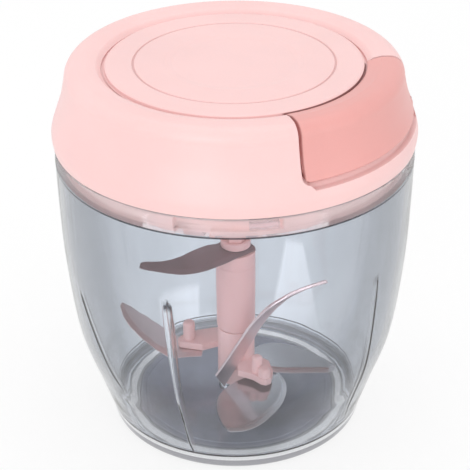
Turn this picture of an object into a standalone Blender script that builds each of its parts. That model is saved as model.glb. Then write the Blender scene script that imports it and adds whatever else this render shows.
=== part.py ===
"""Pull-cord garlic chopper: a clear bowl, a twist-lock lid with a pull handle and five blades on a shaft.

The object stands on its foot ring at z = 0 with its axis on Z. The photograph looks along +Y from above.
"""

import math

import bmesh
import bpy
import numpy as np
from mathutils import Matrix, Vector

MM = 0.001
GAP = 0.3 * MM
RUNNING_GAP = 0.35 * MM
CUT_MARGIN = 5.0 * MM

# Round pieces
RING_STEPS = 48
SMALL_STEPS = 16
CURVE_STEPS = 2
LOOP_STEPS = 24
CORD_RUN_STEPS = 6
SPRING_STEPS = 16
SMOOTH_ANGLE = math.radians(35)

# Bowl
BOWL_HEIGHT = 109.0 * MM
BOWL_WALL = 2.4 * MM
BOWL_RIM_RADIUS = 61.9 * MM
BOWL_WAIST_RADIUS = 60.4 * MM
BOWL_TURN_RADIUS = 57.0 * MM
BOWL_FOOT_RADIUS = 45.6 * MM
BOWL_FLARE_RADII = (47.2 * MM, 51.4 * MM)
BOWL_FLARE_HEIGHTS = (8.0 * MM, 20.0 * MM)
BOWL_NECK_HEIGHT = 89.0 * MM
BOWL_NECK_STEP = 0.3 * MM
FLOOR_CORNER = 2.4 * MM
PIN_BOSS_TAPER = 0.5 * MM
WAIST_HEIGHT = 65.0 * MM
TURN_HEIGHT = 38.0 * MM
FLOOR_UNDERSIDE = 3.0 * MM
FLOOR_THICKNESS = 2.4 * MM
FOOT_LIFT = 0.5 * MM
FOOT_BEVEL = 3.0 * MM

# Foot
FOOT_RING_RADIUS = 41.0 * MM
FOOT_RING_WIDTH = 3.8 * MM
FOOT_RING_BEVEL = 0.6 * MM
PAD_LIFT = 0.6 * MM

# Centre pin
PIN_RADIUS = 2.0 * MM
PIN_BOSS_RADIUS = 6.0 * MM
PIN_BOSS_HEIGHT = 3.0 * MM
PIN_LENGTH = 24.0 * MM
PIN_ROOT = 4.0 * MM

# Twist lock
LOCK_COUNT = 4
LUG_CENTRE_DEG = -81.2
LUG_WIDTH_DEG = 9.2
LOCK_TURN_DEG = 22.0
LUG_HEIGHT = 2.4 * MM
LUG_BELOW_RIM = 4.8 * MM
LUG_DEPTH = 1.5 * MM
LOCK_SLACK_DEG = 1.4
LOCK_SLACK = 0.5 * MM
MOUTH_STEP = 0.1 * MM
MOUTH_STEP_DEG = 0.3

# Lid
LID_HEIGHT = 28.0 * MM
LID_WALL = 2.0 * MM
BELLY_ABOVE_RIM = 4.4 * MM
LID_EDGE_STEP = 0.2 * MM
BELLY_STEP = 0.6 * MM
LID_TAPER = 4.7 * MM
SHOULDER_RADIUS = 5.0 * MM
LID_CURVE_DROPS = (0.30, 0.70)
LID_CURVE_RISES = (0.28, 0.60)
LID_TOP_BEVEL = 0.4 * MM
LEDGE_FILLET = 3.0 * MM
PLATE_SEAT_STEP = 0.3 * MM
PLATE_SEAT_WIDTH = 1.1 * MM
CAP_BORDER = 12.7 * MM
CAP_SEAM = 0.6 * MM
CAP_THICKNESS = 1.8 * MM
CAP_DROP = 0.8 * MM
CAP_RING_INSET = 10.5 * MM
CAP_RING_WIDTH = 1.0 * MM
CAP_RING_DEPTH = 0.5 * MM
CAP_BEVEL = 0.4 * MM
CAP_DISH_INSET = 22.1 * MM
CAP_DISH_SLOPE = 2.0 * MM
CAP_DISH_DEPTH = 0.4 * MM
CAP_LEDGE = 1.6 * MM
SEAL_THICKNESS = 1.4 * MM
SEAL_WIDTH = 1.2 * MM

# Base plate with its skirt
PLATE_THICKNESS = 1.8 * MM
SKIRT_DEPTH = 8.0 * MM
SKIRT_WALL = 3.4 * MM
SKIRT_BEVEL = 0.5 * MM
LID_SCREW_COUNT = 4
LID_SCREW_FIRST_DEG = 25.0
LID_SCREW_STEP_DEG = 70.0
LID_SCREW_INSET = 2.8 * MM
LID_BOSS_RADIUS = 3.6 * MM
COVER_POST_INSET = 4.0 * MM
COVER_POST_RADIUS = 2.8 * MM
COVER_POST_COUNT = 3
COVER_POST_FIRST_DEG = 25.0
SCREW_RADIUS = 1.1 * MM
SCREW_HEAD_RADIUS = 2.3 * MM
SCREW_HEAD_HEIGHT = 1.1 * MM
SCREW_LENGTH = 8.0 * MM
SCREW_TIP_GAP = 1.0 * MM
SCREW_STEPS = 12

# Pull handle
HANDLE_START_DEG = -69.5
HANDLE_END_DEG = 3.0
HANDLE_SKIN = 2.2 * MM
HANDLE_LIP = 3.0 * MM
CHEEK_INSET = 0.2 * MM
HANDLE_RIB = 1.2 * MM
HANDLE_TOP_BEVEL = 0.5 * MM
HANDLE_HOLLOW_MARGIN = 4.0 * MM
HANDLE_SEAM = 0.5 * MM
HANDLE_TOP_SEAM = 1.0 * MM
HANDLE_BOTTOM_ABOVE_RIM = 9.8 * MM
POCKET_FLOOR_ABOVE_RIM = 7.2 * MM
POCKET_WALL = 1.5 * MM
HANDLE_BACK_THICKNESS = 1.5 * MM
HANDLE_BACK_SPAN_DEG = 60.0
HANDLE_RAIL_HEIGHT = 2.0 * MM
HANDLE_RAIL_INSET = 10.5 * MM
KNOT_RADIUS = 2.6 * MM

# Spool, cord and recoil spring
CORD_RADIUS = 0.95 * MM
CORD_LOOPS = 3
CORD_PITCH = 2.4 * MM
DRUM_RADIUS = 18.5 * MM
FLANGE_RADIUS = 24.0 * MM
FLANGE_THICKNESS = 1.4 * MM
SPOOL_BORE_RADIUS = 2.7 * MM
AXLE_RADIUS = 2.35 * MM
ARBOR_RADIUS = 4.6 * MM
ARBOR_HEIGHT = 3.9 * MM
SPRING_THICKNESS = 0.5 * MM
SPRING_TURNS = 8
SPRING_PITCH = 1.55 * MM
SPRING_WIDTH = 3.2 * MM
COVER_THICKNESS = 1.4 * MM
COVER_MARGIN = 9.0 * MM
COVER_CUP_WALL = 1.4 * MM
EYELET_WALL = 1.0 * MM
EYELET_FLANGE = 1.0 * MM
EYELET_FLANGE_THICKNESS = 0.8 * MM
EYELET_BORE_RADIUS = 1.5 * MM
EYELET_STEP = 0.5 * MM
CORD_BEND_START = 10.0 * MM

# Drive
SOCKET_RADIUS = 8.3 * MM
SOCKET_LENGTH = 17.0 * MM
SOCKET_BEVEL = 0.8 * MM
SHAFT_STEPS = 36
BUSH_WALL = 1.6 * MM
BUSH_FLANGE = 1.6 * MM
STEM_RADIUS = 4.2 * MM
STEM_SIDES = 6
STEM_ENTRY = 9.0 * MM
COLLAR_RADIUS = 5.4 * MM
COLLAR_HEIGHT = 2.8 * MM
COLLAR_BEVEL = 0.5 * MM

# Blade shaft
SLEEVE_RADIUS = 7.1 * MM
SLEEVE_BEVEL = 0.6 * MM
SLEEVE_FOOT_BEVEL = 0.3 * MM
HUB_RADIUS = 6.9 * MM
HUB_HEIGHT = 26.4 * MM
UPPER_BLADE_HEIGHT = 64.0 * MM
ARM_HEIGHT = 17.6 * MM
ARM_THICKNESS = 2.6 * MM
ARM_GRID = 1.0 * MM
LEFT_POST_PLACE = (-17.6, 9.2)
FRONT_POST_PLACE = (7.6, -13.2)
STUB_PLACE = (10.2, -16.4)
LEFT_POST_RADIUS = 2.3 * MM
FRONT_POST_RADIUS = 1.85 * MM
STUB_RADIUS = 2.3 * MM
LEFT_POST_HEIGHT = 7.0 * MM
FRONT_POST_HEIGHT = 6.6 * MM
STUB_HEIGHT = 3.4 * MM
POST_BEVEL = 0.7 * MM
HUB_BEVEL = 0.6 * MM
HUB_SLOT_RADIUS = 4.0 * MM
HUB_SLOT_SIDES = ((-2.9 * MM, 3.9 * MM), (-5.8 * MM, 8.6 * MM))

# Blades
BLADE_THICKNESS = 1.2 * MM
EDGE_THICKNESS = 0.3 * MM
BEVEL_WIDTH = 2.2 * MM
BLADE_GRID = 1.0 * MM

# Values that follow from those above
FLOOR_TOP = FLOOR_UNDERSIDE + FLOOR_THICKNESS
LID_TOP = BOWL_HEIGHT + LID_HEIGHT
LID_EDGE = BOWL_HEIGHT + GAP
SEAL_BOTTOM = BOWL_HEIGHT + GAP
SEAL_TOP = SEAL_BOTTOM + SEAL_THICKNESS
PLATE_BOTTOM = SEAL_TOP + GAP
PLATE_TOP = PLATE_BOTTOM + PLATE_THICKNESS
BOWL_RIM_INNER = BOWL_RIM_RADIUS - BOWL_WALL
SKIRT_RADIUS = BOWL_RIM_INNER - GAP
LID_EDGE_RADIUS = BOWL_RIM_RADIUS + LID_EDGE_STEP
BELLY_RADIUS = BOWL_RIM_RADIUS + BELLY_STEP
LID_NECK_RADIUS = BELLY_RADIUS - LID_TAPER
CAP_RADIUS = LID_NECK_RADIUS - CAP_BORDER
CAP_RING_RADIUS = CAP_RADIUS - CAP_RING_INSET
CAP_DISH_RADIUS = CAP_RADIUS - CAP_DISH_INSET
LID_SCREW_CIRCLE = SKIRT_RADIUS - SKIRT_WALL - LID_SCREW_INSET
COVER_RADIUS = FLANGE_RADIUS + COVER_MARGIN
COVER_POST_CIRCLE = COVER_RADIUS - COVER_POST_INSET
HANDLE_RAIL_REACH = BELLY_RADIUS - HANDLE_RAIL_INSET
SKIRT_BOTTOM = BOWL_HEIGHT - SKIRT_DEPTH
CAP_TOP = LID_TOP - CAP_DROP
CAP_BOTTOM = CAP_TOP - CAP_THICKNESS
LEDGE_TOP = CAP_BOTTOM - GAP
LEDGE_INNER = CAP_RADIUS - CAP_LEDGE
TOP_RING_INNER = CAP_RADIUS + CAP_SEAM
POCKET_FLOOR = BOWL_HEIGHT + POCKET_FLOOR_ABOVE_RIM
HANDLE_BOTTOM = BOWL_HEIGHT + HANDLE_BOTTOM_ABOVE_RIM
HANDLE_INNER = CAP_RADIUS + HANDLE_TOP_SEAM
HANDLE_MIDDLE_DEG = (HANDLE_START_DEG + HANDLE_END_DEG) / 2
PULL = Vector((math.cos(math.radians(HANDLE_MIDDLE_DEG)), math.sin(math.radians(HANDLE_MIDDLE_DEG)), 0))
SPOOL_BOTTOM = PLATE_TOP + RUNNING_GAP + BUSH_FLANGE / 2
DRUM_BOTTOM = SPOOL_BOTTOM + FLANGE_THICKNESS
DRUM_TOP = DRUM_BOTTOM + CORD_LOOPS * CORD_PITCH + 2 * CORD_RADIUS + 2 * GAP
SPOOL_TOP = DRUM_TOP + FLANGE_THICKNESS
COIL_RADIUS = DRUM_RADIUS + CORD_RADIUS + GAP
COIL_BOTTOM = DRUM_BOTTOM + CORD_RADIUS + GAP
CORD_HEIGHT = COIL_BOTTOM + CORD_LOOPS * CORD_PITCH
ARBOR_TOP = SPOOL_TOP + ARBOR_HEIGHT
COVER_BOTTOM = ARBOR_TOP + RUNNING_GAP
COVER_TOP = COVER_BOTTOM + COVER_THICKNESS
SPRING_INNER = ARBOR_RADIUS + GAP + SPRING_THICKNESS / 2
SPRING_OUTER = SPRING_INNER + SPRING_TURNS * SPRING_PITCH
COVER_CUP_INNER = SPRING_OUTER + SPRING_THICKNESS / 2 + GAP
SPRING_BOTTOM = SPOOL_TOP + (COVER_BOTTOM - SPOOL_TOP - SPRING_WIDTH) / 2
SOCKET_TOP = SPOOL_BOTTOM - GAP
SOCKET_BOTTOM = SOCKET_TOP - SOCKET_LENGTH
STEM_TOP = SOCKET_BOTTOM + STEM_ENTRY
BUSH_RADIUS = SOCKET_RADIUS + RUNNING_GAP + BUSH_WALL
SLEEVE_TOP = UPPER_BLADE_HEIGHT - GAP
HUB_BOTTOM = FLOOR_TOP + PIN_BOSS_HEIGHT + RUNNING_GAP
HUB_TOP = FLOOR_TOP + HUB_HEIGHT
COLLAR_BOTTOM = UPPER_BLADE_HEIGHT + BLADE_THICKNESS + GAP
LOWER_BLADE_TOP = ARM_HEIGHT - GAP
FRONT_BLADE_TOP = LOWER_BLADE_TOP - BLADE_THICKNESS - GAP


# Helpers

def finish(name, bm, material, smooth=True):
    """An object of this name from a bmesh, its faces pointing out."""
    bmesh.ops.recalc_face_normals(bm, faces=bm.faces)
    mesh = bpy.data.meshes.new(name)
    bm.to_mesh(mesh)
    bm.free()
    if smooth:
        mesh.shade_smooth()
        mesh.set_sharp_from_angle(angle=SMOOTH_ANGLE)
    obj = bpy.data.objects.new(name, mesh)
    bpy.context.scene.collection.objects.link(obj)
    if material:
        mesh.materials.append(material)
    return obj


def helper(obj):
    """Marks an object as a cutter or a joining shape, which isn't a piece."""
    obj.hide_render = True
    obj.display_type = "WIRE"
    return obj


def combine(target, tool, operation="DIFFERENCE"):
    modifier = target.modifiers.new(tool.name, "BOOLEAN")
    modifier.operation = operation
    modifier.solver = "EXACT"
    modifier.object = helper(tool)


def gather(name, tools):
    """One object from several shapes that stand apart, so that one Boolean does the work of many."""
    bm = bmesh.new()
    for tool in tools:
        tool.data.transform(Matrix.Translation(tool.location))
        bm.from_mesh(tool.data)
        bpy.data.objects.remove(tool, do_unlink=True)
    mesh = bpy.data.meshes.new(name)
    bm.to_mesh(mesh)
    bm.free()
    obj = bpy.data.objects.new(name, mesh)
    bpy.context.scene.collection.objects.link(obj)
    return obj


def turned_bmesh(profile, steps, start_deg=0.0, sweep_deg=360.0):
    """A closed (radius, height) outline turned about Z, whole or over a sector with flat ends."""
    whole = sweep_deg >= 360.0
    bm = bmesh.new()
    rings = []
    count = steps if whole else steps + 1
    for radius, height in profile:
        if radius <= 0:
            rings.append([bm.verts.new((0, 0, height))] * count)
            continue
        ring = []
        for index in range(count):
            angle = math.radians(start_deg + sweep_deg * index / steps)
            ring.append(bm.verts.new((radius * math.cos(angle), radius * math.sin(angle), height)))
        rings.append(ring)
    for index, ring in enumerate(rings):
        after = rings[(index + 1) % len(rings)]
        for step in range(steps):
            nxt = (step + 1) % count
            corners = []
            for vert in (ring[step], ring[nxt], after[nxt], after[step]):
                if vert not in corners:
                    corners.append(vert)
            if len(corners) > 2:
                bm.faces.new(corners)
    if not whole:
        bm.faces.new([ring[0] for ring in rings])
        bm.faces.new([ring[-1] for ring in rings])
    return bm


def turned(name, profile, material, steps=RING_STEPS):
    return finish(name, turned_bmesh(profile, steps), material)


def sector(name, profile, start_deg, end_deg, material=None, step_deg=5.0):
    steps = max(2, math.ceil((end_deg - start_deg) / step_deg))
    return finish(name, turned_bmesh(profile, steps, start_deg, end_deg - start_deg), material)


def rectangle(inner, outer, bottom, top):
    return [(inner, bottom), (outer, bottom), (outer, top), (inner, top)]


def tube_ring(name, inner, outer, bottom, top, material, steps=RING_STEPS):
    return turned(name, rectangle(inner, outer, bottom, top), material, steps)


def rod(name, radius, bottom, top, material=None, steps=SMALL_STEPS, centre=(0.0, 0.0)):
    obj = turned(name, rectangle(0.0, radius, bottom, top), material, steps)
    obj.location = (centre[0], centre[1], 0)
    return obj


def polar(radius, degrees):
    angle = math.radians(degrees)
    return radius * math.cos(angle), radius * math.sin(angle)


def curve_points(knots, per_span):
    """Points on a smooth curve through the knots."""
    points = []
    padded = [knots[0]] + list(knots) + [knots[-1]]
    for index in range(len(knots) - 1):
        a, b, c, d = (np.array(p, float) for p in padded[index:index + 4])
        for step in range(per_span):
            t = step / per_span
            points.append(tuple(0.5 * (2 * b + (c - a) * t + (2 * a - 5 * b + 4 * c - d) * t**2
                                       + (3 * b - a - 3 * c + d) * t**3)))
    points.append(tuple(knots[-1]))
    return points


def arc(centre, radius, start_deg, end_deg, steps):
    points = []
    for index in range(steps + 1):
        angle = math.radians(start_deg + (end_deg - start_deg) * index / steps)
        points.append((centre[0] + radius * math.cos(angle), centre[1] + radius * math.sin(angle)))
    return points


def material(name, colour, roughness, metallic=0.0, alpha=1.0):
    made = bpy.data.materials.new(name)
    made.use_nodes = True
    shader = made.node_tree.nodes["Principled BSDF"]
    shader.inputs["Base Color"].default_value = (*colour, 1)
    shader.inputs["Roughness"].default_value = roughness
    shader.inputs["Metallic"].default_value = metallic
    shader.inputs["Alpha"].default_value = alpha
    return made


# Outlines shared by more than one piece

def lid_outside(first_height):
    """The lid's outer outline from a height up to its flat top ring."""
    belly = BOWL_HEIGHT + BELLY_ABOVE_RIM
    shoulder = LID_TOP - SHOULDER_RADIUS
    rise = shoulder - belly
    drop = BELLY_RADIUS - LID_NECK_RADIUS
    knots = [(LID_EDGE_RADIUS, LID_EDGE), (BELLY_RADIUS, belly)]
    for inset, climb in zip(LID_CURVE_DROPS, LID_CURVE_RISES):
        knots.append((BELLY_RADIUS - inset * drop, belly + climb * rise))
    knots.append((LID_NECK_RADIUS, shoulder))
    wall = [p for p in curve_points(knots, CURVE_STEPS) if p[1] > first_height + GAP]
    radii, heights = zip(*curve_points(knots, 4 * CURVE_STEPS))
    start = (float(np.interp(first_height, heights, radii)), first_height)
    round_top = arc((LID_NECK_RADIUS - SHOULDER_RADIUS, shoulder), SHOULDER_RADIUS, 0, 90, 4)
    return [start] + wall[:-1] + round_top


def inward(outline, distance):
    """An outline moved inwards by a wall's thickness, square to itself."""
    points = np.array(outline)
    along = np.gradient(points, axis=0)
    along /= np.linalg.norm(along, axis=1)[:, None]
    normal = np.stack([-along[:, 1], along[:, 0]], axis=1)
    return [tuple(p) for p in points + normal * distance]


def bowl_outside():
    knots = [(BOWL_FOOT_RADIUS, FOOT_LIFT + FOOT_BEVEL)]
    knots += list(zip(BOWL_FLARE_RADII, BOWL_FLARE_HEIGHTS))
    knots += [(BOWL_TURN_RADIUS, TURN_HEIGHT), (BOWL_WAIST_RADIUS, WAIST_HEIGHT),
              (BOWL_RIM_RADIUS - BOWL_NECK_STEP, BOWL_NECK_HEIGHT), (BOWL_RIM_RADIUS, BOWL_HEIGHT)]
    return curve_points(knots, CURVE_STEPS)


# Bowl

def make_bowl(clear):
    outside = bowl_outside()
    inside = [p for p in inward(outside, BOWL_WALL) if p[1] > FLOOR_TOP + FLOOR_CORNER]
    inside[-1] = (BOWL_RIM_INNER, BOWL_HEIGHT)
    recess = FOOT_RING_RADIUS + GAP
    profile = [(recess, FLOOR_UNDERSIDE), (recess, FOOT_LIFT),
               (BOWL_FOOT_RADIUS - FOOT_BEVEL, FOOT_LIFT)] + outside + list(reversed(inside))
    corner = inside[0][0] - FLOOR_CORNER
    profile += [(corner + FLOOR_CORNER * 0.4, FLOOR_TOP + FLOOR_CORNER * 0.4),
                (corner - FLOOR_CORNER * 0.4, FLOOR_TOP)]
    profile += [(PIN_BOSS_RADIUS, FLOOR_TOP),
                (PIN_BOSS_RADIUS - PIN_BOSS_TAPER, FLOOR_TOP + PIN_BOSS_HEIGHT),
                (PIN_RADIUS + GAP, FLOOR_TOP + PIN_BOSS_HEIGHT),
                (PIN_RADIUS + GAP, FLOOR_TOP + PIN_BOSS_HEIGHT - PIN_ROOT),
                (0, FLOOR_TOP + PIN_BOSS_HEIGHT - PIN_ROOT), (0, FLOOR_UNDERSIDE)]
    bowl = turned("bowl", profile, clear)
    lug_top = BOWL_HEIGHT - LUG_BELOW_RIM + LUG_HEIGHT
    lugs = []
    for index in range(LOCK_COUNT):
        centre = LUG_CENTRE_DEG + index * 360 / LOCK_COUNT
        lug = sector(f"lug_shape_{index + 1}",
                     rectangle(BOWL_RIM_INNER - LUG_DEPTH, BOWL_RIM_INNER + BOWL_WALL / 2,
                               lug_top - LUG_HEIGHT, lug_top),
                     centre - LUG_WIDTH_DEG / 2, centre + LUG_WIDTH_DEG / 2)
        lugs.append(lug)
    combine(bowl, gather("lug_shapes", lugs), "UNION")
    return bowl


def make_foot(light_silicone, dark_silicone, steel):
    inner = FOOT_RING_RADIUS - FOOT_RING_WIDTH
    bevel = FOOT_RING_BEVEL
    turned("foot_ring", [(inner, FLOOR_UNDERSIDE - GAP), (inner, bevel), (inner + bevel, 0),
                         (FOOT_RING_RADIUS - bevel, 0), (FOOT_RING_RADIUS, bevel),
                         (FOOT_RING_RADIUS, FLOOR_UNDERSIDE - GAP)], light_silicone)
    turned("base_pad", rectangle(0.0, inner - GAP, PAD_LIFT, FLOOR_UNDERSIDE - GAP), dark_silicone)
    bottom = FLOOR_TOP + PIN_BOSS_HEIGHT - PIN_ROOT + GAP
    tip = bottom + PIN_LENGTH
    turned("centre_pin", [(0, bottom), (PIN_RADIUS, bottom), (PIN_RADIUS, tip - PIN_RADIUS / 2),
                          (PIN_RADIUS / 2, tip), (0, tip)], steel, SMALL_STEPS)


# Lid

def make_lid_shell(pink):
    outside = lid_outside(LID_EDGE)
    seat = BELLY_RADIUS - LID_WALL
    inside = [p for p in inward(outside, LID_WALL)
              if PLATE_TOP + GAP + LID_WALL < p[1] < LID_TOP - SHOULDER_RADIUS]
    profile = [(SKIRT_RADIUS + SEAL_WIDTH + 2 * GAP, LID_EDGE)] + outside
    profile += [(TOP_RING_INNER + LID_TOP_BEVEL, LID_TOP), (TOP_RING_INNER, LID_TOP - LID_TOP_BEVEL),
                (TOP_RING_INNER, LEDGE_TOP), (LEDGE_INNER, LEDGE_TOP), (LEDGE_INNER, LEDGE_TOP - LID_WALL),
                (inside[-1][0] - LEDGE_FILLET, LEDGE_TOP - LID_WALL)]
    profile += list(reversed(inside))
    profile += [(seat - PLATE_SEAT_STEP - PLATE_SEAT_WIDTH, PLATE_TOP + GAP),
                (seat - PLATE_SEAT_STEP, PLATE_TOP + GAP), (seat - PLATE_SEAT_STEP, SEAL_TOP + GAP),
                (SKIRT_RADIUS + SEAL_WIDTH + 2 * GAP, SEAL_TOP + GAP)]
    shell = turned("lid_shell", profile, pink)
    block_inner = CAP_RADIUS - POCKET_WALL
    margin = math.degrees(POCKET_WALL / CAP_RADIUS)
    block = sector("pocket_block",
                   [(block_inner, POCKET_FLOOR - POCKET_WALL),
                    (BELLY_RADIUS - LID_WALL * 0.8, POCKET_FLOOR - POCKET_WALL),
                    (LID_NECK_RADIUS - LID_WALL / 2, LID_TOP - SHOULDER_RADIUS),
                    (LID_NECK_RADIUS - SHOULDER_RADIUS, LEDGE_TOP - LID_WALL / 2),
                    (block_inner, LEDGE_TOP - LID_WALL / 2)],
                   HANDLE_START_DEG - margin, HANDLE_END_DEG + margin)
    combine(shell, block, "UNION")
    pocket = sector("pocket_cut",
                    rectangle(CAP_RADIUS, BELLY_RADIUS + CUT_MARGIN, POCKET_FLOOR, LID_TOP + CUT_MARGIN),
                    HANDLE_START_DEG, HANDLE_END_DEG)
    combine(shell, pocket)
    hole = cross_rod("eyelet_hole", EYELET_BORE_RADIUS + EYELET_WALL + GAP, CAP_RADIUS - CUT_MARGIN,
                     CAP_RADIUS + CUT_MARGIN)
    combine(shell, hole)
    bosses = []
    holes = []
    for index in range(LID_SCREW_COUNT):
        centre = polar(LID_SCREW_CIRCLE, LID_SCREW_FIRST_DEG + index * LID_SCREW_STEP_DEG)
        bosses.append(rod(f"boss_shape_{index + 1}", LID_BOSS_RADIUS, PLATE_TOP + 2 * GAP,
                          LEDGE_TOP - LID_WALL / 2, centre=centre))
        holes.append(rod(f"boss_hole_{index + 1}", SCREW_RADIUS + GAP, PLATE_TOP - GAP,
                         PLATE_TOP + SCREW_LENGTH, centre=centre))
    combine(shell, gather("boss_shapes", bosses), "UNION")
    combine(shell, gather("boss_holes", holes))
    return shell


def cross_rod(name, radius, start, end, material_used=None, height=CORD_HEIGHT):
    """A round bar along the pull line, between two distances from the axis."""
    bm = bmesh.new()
    bmesh.ops.create_cone(bm, cap_ends=True, segments=SMALL_STEPS, radius1=radius, radius2=radius,
                          depth=end - start)
    turn = Vector((0, 0, 1)).rotation_difference(PULL).to_matrix()
    bmesh.ops.rotate(bm, verts=bm.verts, cent=(0, 0, 0), matrix=turn)
    middle = PULL * (start + end) / 2
    bmesh.ops.translate(bm, verts=bm.verts, vec=(middle.x, middle.y, height))
    return finish(name, bm, material_used)


def make_top_cap(pink):
    ring_outer = CAP_RING_RADIUS + CAP_RING_WIDTH / 2
    ring_inner = CAP_RING_RADIUS - CAP_RING_WIDTH / 2
    turned("top_cap",
           [(0, CAP_BOTTOM), (CAP_RADIUS, CAP_BOTTOM), (CAP_RADIUS, CAP_TOP - CAP_BEVEL),
            (CAP_RADIUS - CAP_BEVEL, CAP_TOP),
            (ring_outer, CAP_TOP), (CAP_RING_RADIUS, CAP_TOP - CAP_RING_DEPTH), (ring_inner, CAP_TOP),
            (CAP_DISH_RADIUS, CAP_TOP), (CAP_DISH_RADIUS - CAP_DISH_SLOPE, CAP_TOP - CAP_DISH_DEPTH),
            (0, CAP_TOP - CAP_DISH_DEPTH)], pink)


def make_base_plate(pink):
    skirt_inner = SKIRT_RADIUS - SKIRT_WALL
    hole = BUSH_RADIUS + GAP
    plate_radius = BELLY_RADIUS - LID_WALL - PLATE_SEAT_STEP - GAP
    plate = turned("base_plate",
                   [(hole, PLATE_BOTTOM), (skirt_inner, PLATE_BOTTOM), (skirt_inner, SKIRT_BOTTOM),
                    (SKIRT_RADIUS - SKIRT_BEVEL, SKIRT_BOTTOM), (SKIRT_RADIUS, SKIRT_BOTTOM + SKIRT_BEVEL),
                    (SKIRT_RADIUS, PLATE_BOTTOM), (plate_radius, PLATE_BOTTOM),
                    (plate_radius, PLATE_TOP), (hole, PLATE_TOP)], pink)
    lug_bottom = BOWL_HEIGHT - LUG_BELOW_RIM
    lug_top = lug_bottom + LUG_HEIGHT
    depth = SKIRT_RADIUS - (BOWL_RIM_INNER - LUG_DEPTH) + GAP
    half = LUG_WIDTH_DEG / 2 + LOCK_SLACK_DEG
    inner = SKIRT_RADIUS - depth
    outer = SKIRT_RADIUS + 2 * MM
    runs = []
    mouths = []
    for index in range(LOCK_COUNT):
        locked = LUG_CENTRE_DEG + index * 360 / LOCK_COUNT
        entry = locked - LOCK_TURN_DEG
        run = sector(f"lock_run_{index + 1}",
                     rectangle(inner, outer, lug_bottom - LOCK_SLACK, lug_top + LOCK_SLACK),
                     entry - half, locked + half)
        mouth = sector(f"lock_mouth_{index + 1}",
                       rectangle(inner + MOUTH_STEP, outer + MM, SKIRT_BOTTOM - 2 * MM, lug_top),
                       entry - half + MOUTH_STEP_DEG, entry + half - MOUTH_STEP_DEG)
        runs.append(run)
        mouths.append(mouth)
    combine(plate, gather("lock_runs", runs))
    combine(plate, gather("lock_mouths", mouths))
    posts = []
    holes = []
    for index in range(COVER_POST_COUNT):
        centre = polar(COVER_POST_CIRCLE, COVER_POST_FIRST_DEG + index * 360 / COVER_POST_COUNT)
        posts.append(rod(f"post_shape_{index + 1}", COVER_POST_RADIUS, PLATE_TOP - PLATE_THICKNESS / 2,
                         COVER_BOTTOM - GAP, centre=centre))
        holes.append(rod(f"post_hole_{index + 1}", SCREW_RADIUS + GAP, COVER_BOTTOM - SCREW_LENGTH,
                         COVER_BOTTOM + MM, centre=centre))
    for index in range(LID_SCREW_COUNT):
        centre = polar(LID_SCREW_CIRCLE, LID_SCREW_FIRST_DEG + index * LID_SCREW_STEP_DEG)
        holes.append(rod(f"plate_hole_{index + 1}", SCREW_RADIUS + GAP, PLATE_BOTTOM - MM,
                         PLATE_TOP + MM, centre=centre))
    combine(plate, gather("post_shapes", posts), "UNION")
    combine(plate, gather("screw_holes", holes))
    return plate


def make_screw(name, x, y, head_face, direction, steel):
    """A pan-head screw: its head's inner face at head_face, its shank going up (1) or down (-1)."""
    length = SCREW_LENGTH - SCREW_TIP_GAP
    heights = [-SCREW_HEAD_HEIGHT, -SCREW_HEAD_HEIGHT, -SCREW_HEAD_HEIGHT * 0.4, 0.0, 0.0,
               length - SCREW_RADIUS, length]
    radii = [0.0, SCREW_HEAD_RADIUS * 0.8, SCREW_HEAD_RADIUS, SCREW_HEAD_RADIUS, SCREW_RADIUS,
             SCREW_RADIUS, 0.0]
    profile = [(r, head_face + direction * h) for r, h in zip(radii, heights)]
    screw = turned(name, profile, steel, SCREW_STEPS)
    screw.location = (x, y, 0)


def make_lid_screws(steel):
    for index in range(LID_SCREW_COUNT):
        x, y = polar(LID_SCREW_CIRCLE, LID_SCREW_FIRST_DEG + index * LID_SCREW_STEP_DEG)
        make_screw(f"lid_screw_{index + 1}", x, y, PLATE_BOTTOM - GAP, 1, steel)
    for index in range(COVER_POST_COUNT):
        x, y = polar(COVER_POST_CIRCLE, COVER_POST_FIRST_DEG + index * 360 / COVER_POST_COUNT)
        make_screw(f"cover_screw_{index + 1}", x, y, COVER_TOP + GAP, -1, steel)


def make_seal(silicone):
    inner = SKIRT_RADIUS + GAP
    tube_ring("lid_seal", inner, inner + SEAL_WIDTH, SEAL_BOTTOM, SEAL_TOP, silicone)


# Pull handle

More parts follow.
